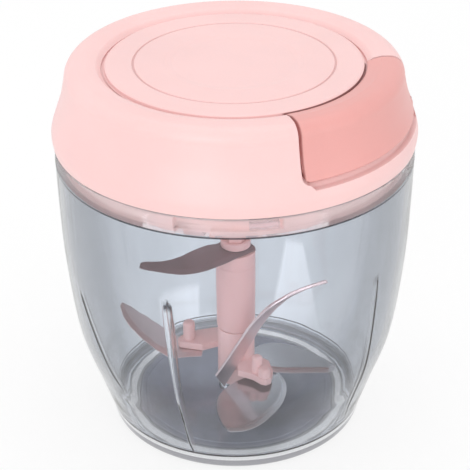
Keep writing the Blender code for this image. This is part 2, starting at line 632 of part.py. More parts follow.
def make_handle(coral, inner_plastic, cord_material):
    outside = lid_outside(HANDLE_BOTTOM)
    inside = inward(outside, HANDLE_SKIN)
    inside = [p for p in inside
              if p[0] > HANDLE_INNER + HANDLE_HOLLOW_MARGIN and p[1] > HANDLE_BOTTOM + HANDLE_SKIN]
    seam = math.degrees(HANDLE_SEAM / BELLY_RADIUS)
    start = HANDLE_START_DEG + seam
    end = HANDLE_END_DEG - seam
    rib_bottom = LID_TOP - HANDLE_SKIN - HANDLE_RIB
    profile = outside + [(HANDLE_INNER + HANDLE_TOP_BEVEL, LID_TOP),
                         (HANDLE_INNER, LID_TOP - HANDLE_TOP_BEVEL), (HANDLE_INNER, rib_bottom),
                         (HANDLE_INNER + HANDLE_SKIN, rib_bottom),
                         (HANDLE_INNER + HANDLE_SKIN, LID_TOP - HANDLE_SKIN)]
    profile += list(reversed(inside))
    bottom_radius = outside[0][0]
    profile += [(bottom_radius - HANDLE_SKIN, HANDLE_BOTTOM + HANDLE_SKIN),
                (bottom_radius - HANDLE_SKIN - HANDLE_LIP, HANDLE_BOTTOM + HANDLE_SKIN),
                (bottom_radius - HANDLE_SKIN - HANDLE_LIP, HANDLE_BOTTOM)]
    handle = sector("pull_handle", profile, start, end, coral, 4.0)
    wall_deg = math.degrees(HANDLE_SKIN / BELLY_RADIUS)
    cheeks = []
    for name, from_deg, to_deg in (("first", start, start + wall_deg), ("last", end - wall_deg, end)):
        cheek = sector(f"cheek_{name}",
                       [(HANDLE_INNER + CHEEK_INSET, HANDLE_BOTTOM + CHEEK_INSET),
                        (bottom_radius - HANDLE_SKIN / 2, HANDLE_BOTTOM + CHEEK_INSET),
                        (LID_NECK_RADIUS - HANDLE_SKIN / 2, LID_TOP - SHOULDER_RADIUS),
                        (LID_NECK_RADIUS - SHOULDER_RADIUS, LID_TOP - HANDLE_SKIN / 2),
                        (HANDLE_INNER + CHEEK_INSET, LID_TOP - HANDLE_SKIN / 2)],
                       from_deg, to_deg)
        cheeks.append(cheek)
    combine(handle, gather("cheek_shapes", cheeks), "UNION")
    make_handle_back(inner_plastic)
    make_knot(cord_material)
    return handle


def make_handle_back(inner_plastic):
    half = HANDLE_BACK_SPAN_DEG / 2
    top = LID_TOP - HANDLE_SKIN - HANDLE_RIB - GAP
    low_reach = lid_outside(HANDLE_BOTTOM)[0][0] - HANDLE_SKIN - HANDLE_LIP - GAP
    face = HANDLE_INNER + HANDLE_BACK_THICKNESS
    low_rail_top = HANDLE_BOTTOM + HANDLE_RAIL_HEIGHT
    top_rail_bottom = top - HANDLE_RAIL_HEIGHT
    back = sector("handle_back",
                  [(HANDLE_INNER, HANDLE_BOTTOM), (low_reach, HANDLE_BOTTOM), (low_reach, low_rail_top),
                   (face, low_rail_top), (face, top_rail_bottom), (HANDLE_RAIL_REACH, top_rail_bottom),
                   (HANDLE_RAIL_REACH, top), (HANDLE_INNER, top)],
                  HANDLE_MIDDLE_DEG - half, HANDLE_MIDDLE_DEG + half, inner_plastic)
    hole = cross_rod("back_hole", CORD_RADIUS + GAP, HANDLE_INNER - CUT_MARGIN / 2,
                     HANDLE_INNER + HANDLE_BACK_THICKNESS + CUT_MARGIN / 2)
    combine(back, hole)


def make_knot(cord_material):
    centre = PULL * (HANDLE_INNER + HANDLE_BACK_THICKNESS + GAP + KNOT_RADIUS)
    bm = bmesh.new()
    bmesh.ops.create_uvsphere(bm, u_segments=SMALL_STEPS, v_segments=10, radius=KNOT_RADIUS)
    knot = finish("cord_knot", bm, cord_material)
    knot.location = (centre.x, centre.y, CORD_HEIGHT)


# Spool, cord and spring

def make_spool(white):
    profile = [(SPOOL_BORE_RADIUS, SPOOL_BOTTOM), (FLANGE_RADIUS, SPOOL_BOTTOM),
               (FLANGE_RADIUS, DRUM_BOTTOM), (DRUM_RADIUS, DRUM_BOTTOM), (DRUM_RADIUS, DRUM_TOP),
               (FLANGE_RADIUS, DRUM_TOP),
               (FLANGE_RADIUS, SPOOL_TOP), (ARBOR_RADIUS, SPOOL_TOP), (ARBOR_RADIUS, ARBOR_TOP),
               (SPOOL_BORE_RADIUS, ARBOR_TOP)]
    return turned("spool", profile, white)


def stem_outline(radius):
    return [polar(radius, 360 * index / STEM_SIDES) for index in range(STEM_SIDES)]


def prism(name, outline, bottom, top, material_used=None, smooth=False):
    bm = bmesh.new()
    lower = [bm.verts.new((x, y, bottom)) for x, y in outline]
    upper = [bm.verts.new((x, y, top)) for x, y in outline]
    bm.faces.new(lower)
    bm.faces.new(upper)
    for index in range(len(outline)):
        after = (index + 1) % len(outline)
        bm.faces.new((lower[index], lower[after], upper[after], upper[index]))
    return finish(name, bm, material_used, smooth)


def make_drive_socket(pink):
    socket = turned("drive_socket",
                    [(0, SOCKET_BOTTOM), (SOCKET_RADIUS - SOCKET_BEVEL, SOCKET_BOTTOM),
                     (SOCKET_RADIUS, SOCKET_BOTTOM + SOCKET_BEVEL), (SOCKET_RADIUS, SOCKET_TOP),
                     (0, SOCKET_TOP)], pink, SHAFT_STEPS)
    hollow = prism("socket_hollow", stem_outline(STEM_RADIUS + GAP), SOCKET_BOTTOM - MM, STEM_TOP + MM)
    combine(socket, hollow)


def make_bush(brass):
    inner = SOCKET_RADIUS + RUNNING_GAP
    rim = BUSH_RADIUS + BUSH_FLANGE
    seat = PLATE_TOP + GAP / 2
    top = PLATE_TOP + BUSH_FLANGE / 2
    turned("spool_bush", [(inner, PLATE_BOTTOM), (BUSH_RADIUS, PLATE_BOTTOM), (BUSH_RADIUS, seat),
                          (rim, seat), (rim, top), (inner, top)], brass, SHAFT_STEPS)


def make_axle(steel):
    rod("spool_axle", AXLE_RADIUS, SPOOL_BOTTOM + GAP, COVER_BOTTOM - GAP, steel)


def make_spring_cover(white):
    cup_outer = COVER_CUP_INNER + COVER_CUP_WALL
    cup_bottom = SPOOL_TOP + RUNNING_GAP
    cover = turned("spring_cover",
                   [(0, COVER_BOTTOM), (COVER_CUP_INNER, COVER_BOTTOM), (COVER_CUP_INNER, cup_bottom),
                    (cup_outer, cup_bottom), (cup_outer, COVER_BOTTOM), (COVER_RADIUS, COVER_BOTTOM),
                    (COVER_RADIUS, COVER_TOP), (0, COVER_TOP)], white)
    holes = []
    for index in range(COVER_POST_COUNT):
        centre = polar(COVER_POST_CIRCLE, COVER_POST_FIRST_DEG + index * 360 / COVER_POST_COUNT)
        holes.append(rod(f"cover_hole_{index + 1}", SCREW_RADIUS + GAP, COVER_BOTTOM - MM,
                         COVER_TOP + MM, centre=centre))
    combine(cover, gather("cover_holes", holes))


def make_recoil_spring(steel):
    """A flat strip wound in a spiral from the arbor out to the cup."""
    steps = SPRING_TURNS * SPRING_STEPS
    bm = bmesh.new()
    rows = []
    for index in range(steps + 1):
        turn = index / SPRING_STEPS
        radius = SPRING_INNER + SPRING_PITCH * turn
        direction = Vector((*polar(1.0, 360 * turn), 0))
        inner = direction * (radius - SPRING_THICKNESS / 2)
        outer = direction * (radius + SPRING_THICKNESS / 2)
        low = SPRING_BOTTOM
        high = SPRING_BOTTOM + SPRING_WIDTH
        corners = [(inner, low), (outer, low), (outer, high), (inner, high)]
        rows.append([bm.verts.new((p.x, p.y, z)) for p, z in corners])
    for row, after in zip(rows, rows[1:]):
        for side in range(4):
            nxt = (side + 1) % 4
            bm.faces.new((row[side], row[nxt], after[nxt], after[side]))
    bm.faces.new(rows[0])
    bm.faces.new(rows[-1])
    finish("recoil_spring", bm, steel)


def cord_route():
    """The winding's loops, the taut run to the eyelet and the straight end at the handle."""
    eyelet = CAP_RADIUS - POCKET_WALL / 2
    lean = math.asin(COIL_RADIUS / eyelet)
    leave = math.radians(HANDLE_MIDDLE_DEG) + lean - math.pi / 2
    total = CORD_LOOPS * LOOP_STEPS
    points = []
    for index in range(total + 1):
        angle = leave - 2 * math.pi * (total - index) / LOOP_STEPS
        height = COIL_BOTTOM + CORD_PITCH * index / LOOP_STEPS
        points.append((COIL_RADIUS * math.cos(angle), COIL_RADIUS * math.sin(angle), height))
    least = least_gap(points)
    print(f"pull_cord: least gap between its loops {least / MM:.2f} mm")
    start = Vector(points[-1])
    bend = PULL * (eyelet - CORD_BEND_START / 2)
    along = Vector((bend.x, bend.y, start.z)) - start
    straight_to = start + along * (1 - CORD_BEND_START / (2 * along.length))
    for index in range(1, CORD_RUN_STEPS + 1):
        points.append(tuple(start.lerp(straight_to, index / CORD_RUN_STEPS)))
    corner = Vector((bend.x, bend.y, start.z))
    after = corner + PULL * CORD_BEND_START / 2
    for index in range(1, CORD_RUN_STEPS + 1):
        t = index / CORD_RUN_STEPS
        points.append(tuple(straight_to * (1 - t) ** 2 + corner * 2 * t * (1 - t) + after * t**2))
    end = PULL * (HANDLE_INNER + HANDLE_BACK_THICKNESS)
    finish_at = Vector((end.x, end.y, start.z))
    for index in range(1, CORD_RUN_STEPS // 2 + 1):
        points.append(tuple(after.lerp(finish_at, 2 * index / CORD_RUN_STEPS)))
    return points


def least_gap(points):
    """The least distance between parts of the winding that lie half a loop or more apart, less the cord."""
    route = np.array(points)
    least = 1.0
    for index in range(len(route)):
        rest = route[index + LOOP_STEPS // 2:]
        if len(rest):
            least = min(least, float(np.linalg.norm(rest - route[index], axis=1).min()))
    return least - 2 * CORD_RADIUS


def make_cord(cord_material):
    curve = bpy.data.curves.new("pull_cord", "CURVE")
    curve.dimensions = "3D"
    curve.bevel_depth = CORD_RADIUS
    curve.bevel_resolution = 1
    curve.use_fill_caps = True
    curve.materials.append(cord_material)
    route = cord_route()
    spline = curve.splines.new("POLY")
    spline.points.add(len(route) - 1)
    for point, place in zip(spline.points, route):
        point.co = (*place, 1)
    bpy.context.scene.collection.objects.link(bpy.data.objects.new("pull_cord", curve))


def make_eyelet(brass):
    bore = EYELET_BORE_RADIUS
    sleeve = bore + EYELET_WALL
    inner_end = CAP_RADIUS - POCKET_WALL - EYELET_STEP
    outer_end = CAP_RADIUS + GAP + EYELET_FLANGE_THICKNESS / 2
    eyelet = cross_rod("cord_eyelet", sleeve, inner_end - EYELET_FLANGE_THICKNESS / 2, outer_end, brass)
    flange = cross_rod("eyelet_flange_shape", sleeve + EYELET_FLANGE, inner_end - EYELET_FLANGE_THICKNESS,
                       inner_end)
    combine(eyelet, flange, "UNION")
    hole = cross_rod("eyelet_bore_shape", bore, inner_end - CUT_MARGIN, CAP_RADIUS + CUT_MARGIN)
    combine(eyelet, hole)


# Blade shaft

def make_shaft_sleeve(pink):
    foot = HUB_TOP + GAP
    sleeve = turned("shaft_sleeve",
                    [(0, foot), (SLEEVE_RADIUS - SLEEVE_FOOT_BEVEL, foot),
                     (SLEEVE_RADIUS, foot + SLEEVE_FOOT_BEVEL), (SLEEVE_RADIUS, SLEEVE_TOP - SLEEVE_BEVEL),
                     (SLEEVE_RADIUS - SLEEVE_BEVEL, SLEEVE_TOP), (0, SLEEVE_TOP)],
                    pink, SHAFT_STEPS)
    stem = prism("stem_shape", stem_outline(STEM_RADIUS), SLEEVE_TOP - CUT_MARGIN, STEM_TOP)
    combine(sleeve, stem, "UNION")


def make_collar(pink):
    top = COLLAR_BOTTOM + COLLAR_HEIGHT
    collar = turned("shaft_collar",
                    [(0, COLLAR_BOTTOM), (COLLAR_RADIUS, COLLAR_BOTTOM),
                     (COLLAR_RADIUS, top - COLLAR_BEVEL), (COLLAR_RADIUS - COLLAR_BEVEL, top), (0, top)],
                    pink, SHAFT_STEPS)
    hollow = prism("collar_hollow", stem_outline(STEM_RADIUS + GAP), COLLAR_BOTTOM - MM, top + MM)
    combine(collar, hollow)


LEFT_ARM = ((0.0, 5.6), (-4.6, 4.0), (-5.8, 7.4), (-12.6, 4.2), (-21.0, 6.4), (-22.0, 8.2), (-20.8, 10.6),
            (-15.0, 14.0), (-7.5, 16.0), (-2.0, 12.6))
FRONT_ARM = ((0.6, -4.0), (0.6, -12.8), (6.2, -15.4), (8.8, -18.6), (10.6, -19.2), (12.4, -18.0), (13.4, -13.4),
             (12.1, -6.7), (5.6, -2.0))


def arm_outline(corners, margin=0.0):
    """A flat arm's outline on its grid, widened all round by a margin."""
    middle = Vector((sum(x for x, _ in corners), sum(y for _, y in corners))) / len(corners)
    outline = []
    for corner in corners:
        out = Vector(corner) - middle
        outline.append(tuple(Vector(corner) * ARM_GRID + out.normalized() * margin))
    return outline


def tenon_places():
    """Where the posts that hold the lower blades stand: centre, radius and height above the arm."""
    return [(Vector(LEFT_POST_PLACE) * ARM_GRID, LEFT_POST_RADIUS, LEFT_POST_HEIGHT),
            (Vector(FRONT_POST_PLACE) * ARM_GRID, FRONT_POST_RADIUS, FRONT_POST_HEIGHT),
            (Vector(STUB_PLACE) * ARM_GRID, STUB_RADIUS, STUB_HEIGHT)]


def make_blade_hub(pink):
    hub = turned("blade_hub",
                 [(0, HUB_BOTTOM), (HUB_RADIUS - HUB_BEVEL, HUB_BOTTOM),
                  (HUB_RADIUS, HUB_BOTTOM + HUB_BEVEL), (HUB_RADIUS, HUB_TOP), (0, HUB_TOP)],
                 pink, SHAFT_STEPS)
    for index, corners in enumerate((LEFT_ARM, FRONT_ARM)):
        arm = prism(f"arm_shape_{index + 1}", arm_outline(corners), ARM_HEIGHT, ARM_HEIGHT + ARM_THICKNESS)
        combine(hub, arm, "UNION")
    for index, (place, radius, height) in enumerate(tenon_places()):
        top = ARM_HEIGHT + ARM_THICKNESS + height
        post = turned(f"tenon_shape_{index + 1}",
                      [(0, ARM_HEIGHT + ARM_THICKNESS / 2), (radius, ARM_HEIGHT + ARM_THICKNESS / 2),
                       (radius, top - POST_BEVEL), (radius - POST_BEVEL, top), (0, top)], None, SMALL_STEPS)
        post.location = (place[0], place[1], 0)
        combine(hub, post, "UNION")
    (near_first, near_last), (far_first, far_last) = HUB_SLOT_SIDES
    mouth = HUB_RADIUS + 2 * MM
    slot = prism("blade_slot", [(HUB_SLOT_RADIUS, near_first), (mouth, far_first), (mouth, far_last),
                                (HUB_SLOT_RADIUS, near_last)],
                 LOWER_BLADE_TOP - BLADE_THICKNESS - GAP, LOWER_BLADE_TOP + GAP)
    combine(hub, slot)
    bore_top = FLOOR_TOP + PIN_BOSS_HEIGHT - PIN_ROOT + GAP + PIN_LENGTH + GAP
    bore = rod("hub_bore", PIN_RADIUS + RUNNING_GAP, HUB_BOTTOM - MM, bore_top)
    combine(hub, bore)


# Blades

def blade(name, stations, steel, thickness=BLADE_THICKNESS):
    """A plate lofted through stations of (cutting edge point, back point), ground on its upper side."""
    edges = [Vector(e) * BLADE_GRID for e, _ in stations]
    backs = [Vector(b) * BLADE_GRID for _, b in stations]
    bm = bmesh.new()
    rows = []
    for index, (edge, back) in enumerate(zip(edges, backs)):
        before = max(index - 1, 0)
        after = min(index + 1, len(edges) - 1)
        along = (edges[after] + backs[after]) - (edges[before] + backs[before])
        across = back - edge
        up = along.cross(across).normalized()
        if up.z < 0:
            up = -up
        width = across.length
        shoulder = edge + across * min(BEVEL_WIDTH / width, 0.6)
        row = [edge, back, back + up * thickness, shoulder + up * thickness, edge + up * EDGE_THICKNESS]
        rows.append([bm.verts.new(p) for p in row])
    for row, after in zip(rows, rows[1:]):
        for side in range(5):
            nxt = (side + 1) % 5
            bm.faces.new((row[side], row[nxt], after[nxt], after[side]))
    bm.faces.new(rows[0])
    bm.faces.new(rows[-1])
    bmesh.ops.triangulate(bm, faces=bm.faces)
    return finish(name, bm, steel)


def level(points, height):
    """Stations on a level plate, from (edge x, edge y, back x, back y) in steps of the blade grid."""
    return [((ex, ey, height), (bx, by, height)) for ex, ey, bx, by in points]


def make_upper_blade(dark_steel):
    height = UPPER_BLADE_HEIGHT / BLADE_GRID
    plan = [(7.2, -1.8, 6.7, -0.6), (5.7, -2.8, 5.3, 1.8), (3.3, -5.0, 3.5, 5.0), (0.0, -7.8, 0.0, 6.2),
            (-3.9, -11.2, -3.8, 5.0), (-8.6, -14.8, -6.6, 1.4), (-13.0, -17.0, -10.2, 0.3),
            (-18.0, -18.2, -15.5, -3.8), (-23.0, -17.6, -20.0, -8.1), (-28.0, -16.0, -26.0, -10.9),
            (-31.8, -14.7, -31.4, -10.8), (-33.6, -13.6, -33.2, -11.5)]
    top = blade("upper_blade", level(plan, height), dark_steel)
    hole = prism("upper_blade_hole", stem_outline(STEM_RADIUS + GAP), UPPER_BLADE_HEIGHT - CUT_MARGIN,
                 UPPER_BLADE_HEIGHT + CUT_MARGIN)
    combine(top, hole)


def make_lower_blades(steel):
    low = (LOWER_BLADE_TOP - BLADE_THICKNESS) / BLADE_GRID
    lowest = (FRONT_BLADE_TOP - BLADE_THICKNESS) / BLADE_GRID
    front = [(15.4, -6.4, 9.6, -4.4), (17.6, -11.2, 7.6, -7.8), (18.2, -16.4, 3.8, -10.6),
             (17.6, -22.4, -0.4, -13.8), (15.2, -28.6, -4.0, -17.8), (11.0, -34.4, -6.4, -22.8),
             (6.6, -38.8, -7.2, -28.0), (2.0, -41.6, -6.4, -33.6), (-2.4, -42.0, -4.8, -38.4)]
    blade("front_blade", level(front, lowest), steel)
    root = (HUB_SLOT_RADIUS + GAP) / BLADE_GRID
    right = [(root, -2.4, root, 3.4), (8.8, -4.8, 8.0, 7.6), (13.0, -8.0, 11.6, 9.6), (18.0, -9.0, 16.6, 9.8),
             (24.0, -9.1, 22.4, 7.4), (30.0, -9.2, 28.6, 3.0), (34.6, -9.0, 33.6, -2.0),
             (36.6, -6.8, 36.2, -5.2)]
    blade("right_blade", level(right, low), steel)
    left = [((-13.0, 2.6, low), (-11.4, 13.8, low)), ((-19.0, 1.8, low), (-17.6, 15.0, low)),
            ((-24.5, 2.0, low - 0.4), (-23.0, 16.0, low - 0.4)),
            ((-28.5, 2.8, low + 1.8), (-27.0, 16.8, low + 1.8)),
            ((-33.0, 3.6, low + 5.0), (-31.6, 17.2, low + 5.0)),
            ((-38.6, 6.4, low + 9.0), (-37.4, 17.6, low + 9.0)),
            ((-42.6, 11.2, low + 12.0), (-41.8, 17.8, low + 12.0)),
            ((-44.6, 15.6, low + 13.6), (-44.2, 17.4, low + 13.6))]
    blade("left_blade", left, steel)


def make_rising_blade(steel):
    """The blade that climbs steeply past the front of the shaft."""
    path = [((-4.6, -9.6, 10.4), (-7.4, -11.4, 16.6)), ((0.6, -9.2, 20.0), (-2.6, -11.2, 24.6)),
            ((5.6, -9.0, 29.6), (1.6, -11.2, 31.8)), ((10.2, -9.0, 38.0), (6.0, -11.2, 38.8)),
            ((16.4, -9.0, 46.0), (12.8, -11.2, 46.2)), ((24.0, -9.4, 51.6), (22.6, -11.0, 52.2)),
            ((32.6, -10.2, 55.4), (32.2, -10.9, 55.8))]
    rising = blade("rising_blade", path, steel)
    notch = prism("arm_notch", arm_outline(FRONT_ARM, GAP * 2), ARM_HEIGHT - GAP,
                  ARM_HEIGHT + ARM_THICKNESS + GAP)
    combine(rising, notch)


def clear_scene():
    for obj in list(bpy.data.objects):
        bpy.data.objects.remove(obj, do_unlink=True)


def main():
    clear_scene()
    clear = material("clear_plastic", (0.80, 0.84, 0.88), 0.06, alpha=0.35)
    pink = material("pink_plastic", (0.93, 0.68, 0.66), 0.38)
    coral = material("coral_plastic", (0.90, 0.50, 0.47), 0.36)
    shaft_pink = material("shaft_plastic", (0.82, 0.52, 0.49), 0.42)
    white = material("white_plastic", (0.86, 0.86, 0.84), 0.45)
    steel = material("blade_steel", (0.75, 0.76, 0.78), 0.14, 1.0)
    dark_steel = material("dark_blade", (0.20, 0.15, 0.155), 0.35, 0.6)
    screw_steel = material("screw_steel", (0.62, 0.62, 0.63), 0.3, 1.0)
    brass = material("brass", (0.72, 0.56, 0.30), 0.3, 1.0)
    light_silicone = material("light_silicone", (0.60, 0.60, 0.57), 0.6)
    dark_silicone = material("dark_silicone", (0.16, 0.17, 0.20), 0.6)
    cord_material = material("cord", (0.85, 0.84, 0.80), 0.7)

    make_bowl(clear)
    make_foot(light_silicone, dark_silicone, screw_steel)
    make_lid_shell(pink)
    make_top_cap(pink)
    make_base_plate(pink)
    make_lid_screws(screw_steel)
    make_seal(light_silicone)
    make_handle(coral, white, cord_material)
    make_spool(white)
    make_drive_socket(shaft_pink)
    make_bush(brass)
    make_axle(screw_steel)
    make_spring_cover(white)
    make_recoil_spring(screw_steel)
    make_cord(cord_material)
    make_eyelet(brass)
    make_shaft_sleeve(shaft_pink)
    make_collar(shaft_pink)
    make_blade_hub(shaft_pink)
    make_upper_blade(dark_steel)
    make_lower_blades(steel)
    make_rising_blade(steel)


main()
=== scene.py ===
"""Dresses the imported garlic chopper: fine shapes, materials, soft studio light and the camera."""

import math
from contextlib import contextmanager

import bmesh
import bpy
import numpy as np
from bpy.props import FloatProperty, FloatVectorProperty, IntProperty, PointerProperty
from mathutils import Matrix, Vector


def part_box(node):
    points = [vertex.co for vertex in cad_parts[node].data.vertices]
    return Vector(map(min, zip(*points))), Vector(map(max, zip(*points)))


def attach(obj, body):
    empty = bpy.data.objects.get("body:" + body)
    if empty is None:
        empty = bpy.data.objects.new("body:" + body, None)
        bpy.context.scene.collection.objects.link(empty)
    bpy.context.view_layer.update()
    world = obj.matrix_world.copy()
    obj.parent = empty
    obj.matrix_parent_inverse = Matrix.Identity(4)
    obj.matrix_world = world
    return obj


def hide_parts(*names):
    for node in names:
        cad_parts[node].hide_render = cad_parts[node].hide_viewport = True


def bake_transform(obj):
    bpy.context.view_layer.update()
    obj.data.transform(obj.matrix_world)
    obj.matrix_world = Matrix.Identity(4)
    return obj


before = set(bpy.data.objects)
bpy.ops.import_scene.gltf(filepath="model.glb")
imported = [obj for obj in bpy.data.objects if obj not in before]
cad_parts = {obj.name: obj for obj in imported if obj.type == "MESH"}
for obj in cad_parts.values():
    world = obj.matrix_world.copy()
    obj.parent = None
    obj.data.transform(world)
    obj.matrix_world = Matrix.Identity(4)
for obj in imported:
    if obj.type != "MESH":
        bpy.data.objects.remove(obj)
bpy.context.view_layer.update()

bl_info = {
    "name": "Garlic chopper",
    "version": (1, 0, 0),
    "blender": (4, 5, 0),
    "location": "3D View > Sidebar > Chopper",
    "description": "Builds the looks of a pull-cord garlic chopper around its packed solids",
    "category": "Object",
}

MM = 0.001
ROUND_STEPS = 192
SHARP_ANGLE = math.radians(38)


# Colours and sizes that a user would change

def length(name, description, millimetres):
    return FloatProperty(name=name, description=description, default=millimetres * MM, min=0.0,
                         unit="LENGTH", subtype="DISTANCE", precision=5)


def angle(name, description, degrees):
    return FloatProperty(name=name, description=description, default=math.radians(degrees), subtype="ANGLE")


def power(name, description, watts):
    return FloatProperty(name=name, description=description, default=watts, min=0.0, unit="POWER")


def share(name, description, value):
    return FloatProperty(name=name, description=description, default=value, min=0.0, max=1.0, subtype="FACTOR")


def linear(red, green, blue):
    """A screen colour, 0 to 255, as linear light."""
    values = [channel / 255 for channel in (red, green, blue)]
    return tuple(v / 12.92 if v <= 0.04045 else ((v + 0.055) / 1.055) ** 2.4 for v in values)


def colour(name, description, red, green, blue):
    return FloatVectorProperty(name=name, description=description, size=3, min=0.0, max=1.0,
                               subtype="COLOR", default=linear(red, green, blue))


class ChopperColours(bpy.types.PropertyGroup):
    """Colours of the chopper's materials."""
    lid: colour("Lid", "Pale pink of the lid and its cap", 246, 205, 203)
    handle: colour("Handle", "Coral of the pull handle", 231, 165, 160)
    shaft: colour("Shaft", "Pink of the blade shaft", 250, 200, 196)
    bowl: colour("Bowl", "Cool tint of the clear plastic", 244, 248, 254)
    dark_blade: colour("Upper blade", "Dark coat of the upper blade", 146, 122, 126)
    steel: colour("Steel", "Polished steel of the lower blades", 228, 228, 231)
    pad: colour("Base pad", "Grey pad under the floor", 218, 218, 231)
    ring: colour("Foot ring", "Light ring of the foot", 252, 249, 243)
    cord: colour("Cord", "Braided cord", 232, 228, 218)


class BowlSettings(bpy.types.PropertyGroup):
    """Sizes of the clear bowl."""
    wall: length("Wall", "Thickness of the bowl's wall", 2.4)
    rim: length("Rim radius", "Outer radius at the rim", 61.9)
    height: length("Height", "Height of the rim above the worktop", 109.0)
    flute_depth: length("Flute depth", "How deep the long flutes are pressed", 0.6)
    flute_width: length("Flute width", "Width of a flute at its top", 3.1)
    ripple: share("Ripple", "How strongly the clear wall ripples", 0.12)
    painted_side_shade: share("Painted side shade", "How much darker the wall is where it is seen along itself", 0.76)
    inside_light: share("Light inside", "Share of the lamps' light that each face of the wall lets straight in", 1.0)


class LidSettings(bpy.types.PropertyGroup):
    """Sizes of the lid."""
    belly: length("Belly radius", "Widest radius of the lid", 62.5)
    neck: length("Neck radius", "Radius below the shoulder", 57.3)
    shoulder: length("Shoulder", "Radius of the rounded shoulder", 5.0)
    corner: length("Pocket corner", "Rounding of the handle pocket's lower corners", 2.6)


class HandleSettings(bpy.types.PropertyGroup):
    """Sizes of the pull handle."""
    start: angle("Start", "Azimuth of the handle's first end", -69.9)
    end: angle("End", "Azimuth of the handle's last end", 1.4)
    seam: length("Seam", "Gap between the handle and the lid", 0.6)
    edge: length("Edge", "Rounding of the handle's edges", 0.7)


class BladeSettings(bpy.types.PropertyGroup):
    """Sizes of the blades."""
    thickness: length("Thickness", "Thickness of the blade plate", 1.2)
    bevel: length("Bevel", "Width of the ground bevel", 2.2)
    edge: length("Edge", "Thickness left at the cutting edge", 0.25)


class CordSettings(bpy.types.PropertyGroup):
    """Sizes of the pull cord, the recoil spring and the screws."""
    radius: length("Cord radius", "Radius of the braided cord", 0.95)
    strands: IntProperty(name="Strands", description="Strands of the braid each way", default=8, min=2)
    spring_turns: IntProperty(name="Spring turns", description="Turns of the recoil spring", default=8, min=1)
    spring_thickness: length("Spring thickness", "Thickness of the spring strip", 0.5)
    spring_width: length("Spring width", "Width of the spring strip", 3.2)
    screw_head: length("Screw head", "Radius of a screw's head", 2.3)


class StageSettings(bpy.types.PropertyGroup):
    """Light, floor and camera."""
    daylight: FloatProperty(name="Surrounding light", description="Even light from all round", default=0.86, min=0.0)
    key: power("Key lamp", "Power of the large lamp at the left front", 3.5)
    fill: power("Fill lamp", "Power of the lamp at the right", 1.0)
    top: power("Top lamp", "Power of the lamp overhead", 2.6)
    pitch: angle("Camera pitch", "How far the camera looks down", 29.35)
    distance: length("Camera distance", "From the aim point to the camera", 566.1)
    aim: length("Aim height", "Height of the point that the camera aims at", 68.9)
    lens: FloatProperty(name="Lens", description="Focal length on a 36 mm sensor", default=121.77, min=1.0)
    roll: angle("Camera roll", "Turn about the line of sight", -0.36)


# Node trees

class Value:
    """A node's output that can stand in a sum, so that shader maths reads as maths."""

    def __init__(self, tree, socket):
        self.tree = tree
        self.socket = socket

    def _math(self, operation, first, second=None):
        inputs = {0: first} if second is None else {0: first, 1: second}
        return self.tree.node("ShaderNodeMath", {"operation": operation}, inputs)

    def __add__(self, other):
        return self._math("ADD", self, other)

    def __radd__(self, other):
        return self._math("ADD", other, self)

    def __sub__(self, other):
        return self._math("SUBTRACT", self, other)

    def __rsub__(self, other):
        return self._math("SUBTRACT", other, self)

    def __mul__(self, other):
        return self._math("MULTIPLY", self, other)

    def __rmul__(self, other):
        return self._math("MULTIPLY", other, self)

    def __truediv__(self, other):
        return self._math("DIVIDE", self, other)

    def __rtruediv__(self, other):
        return self._math("DIVIDE", other, self)

    def __pow__(self, other):
        return self._math("POWER", self, other)

    def sine(self):
        return self._math("SINE", self)

    def cosine(self):
        return self._math("COSINE", self)

    def least(self, other):
        return self._math("MINIMUM", self, other)

    def most(self, other):
        return self._math("MAXIMUM", self, other)

    def rise(self, low, high, start=0.0, end=1.0):
        """Rises smoothly from start to end as the value goes from low to high."""
        return self.tree.node("ShaderNodeMapRange", {"interpolation_type": "SMOOTHSTEP"},
                              {"Value": self, "From Min": low, "From Max": high, "To Min": start, "To Max": end})

    def fall(self, low, high):
        """Falls smoothly from one to zero as the value goes from low to high."""
        return 1.0 - self.rise(low, high)

    def band(self, starts, full, fades, gone):
        """One between two places with soft ends, and zero outside them."""
        return self.rise(starts, full) * self.fall(fades, gone)


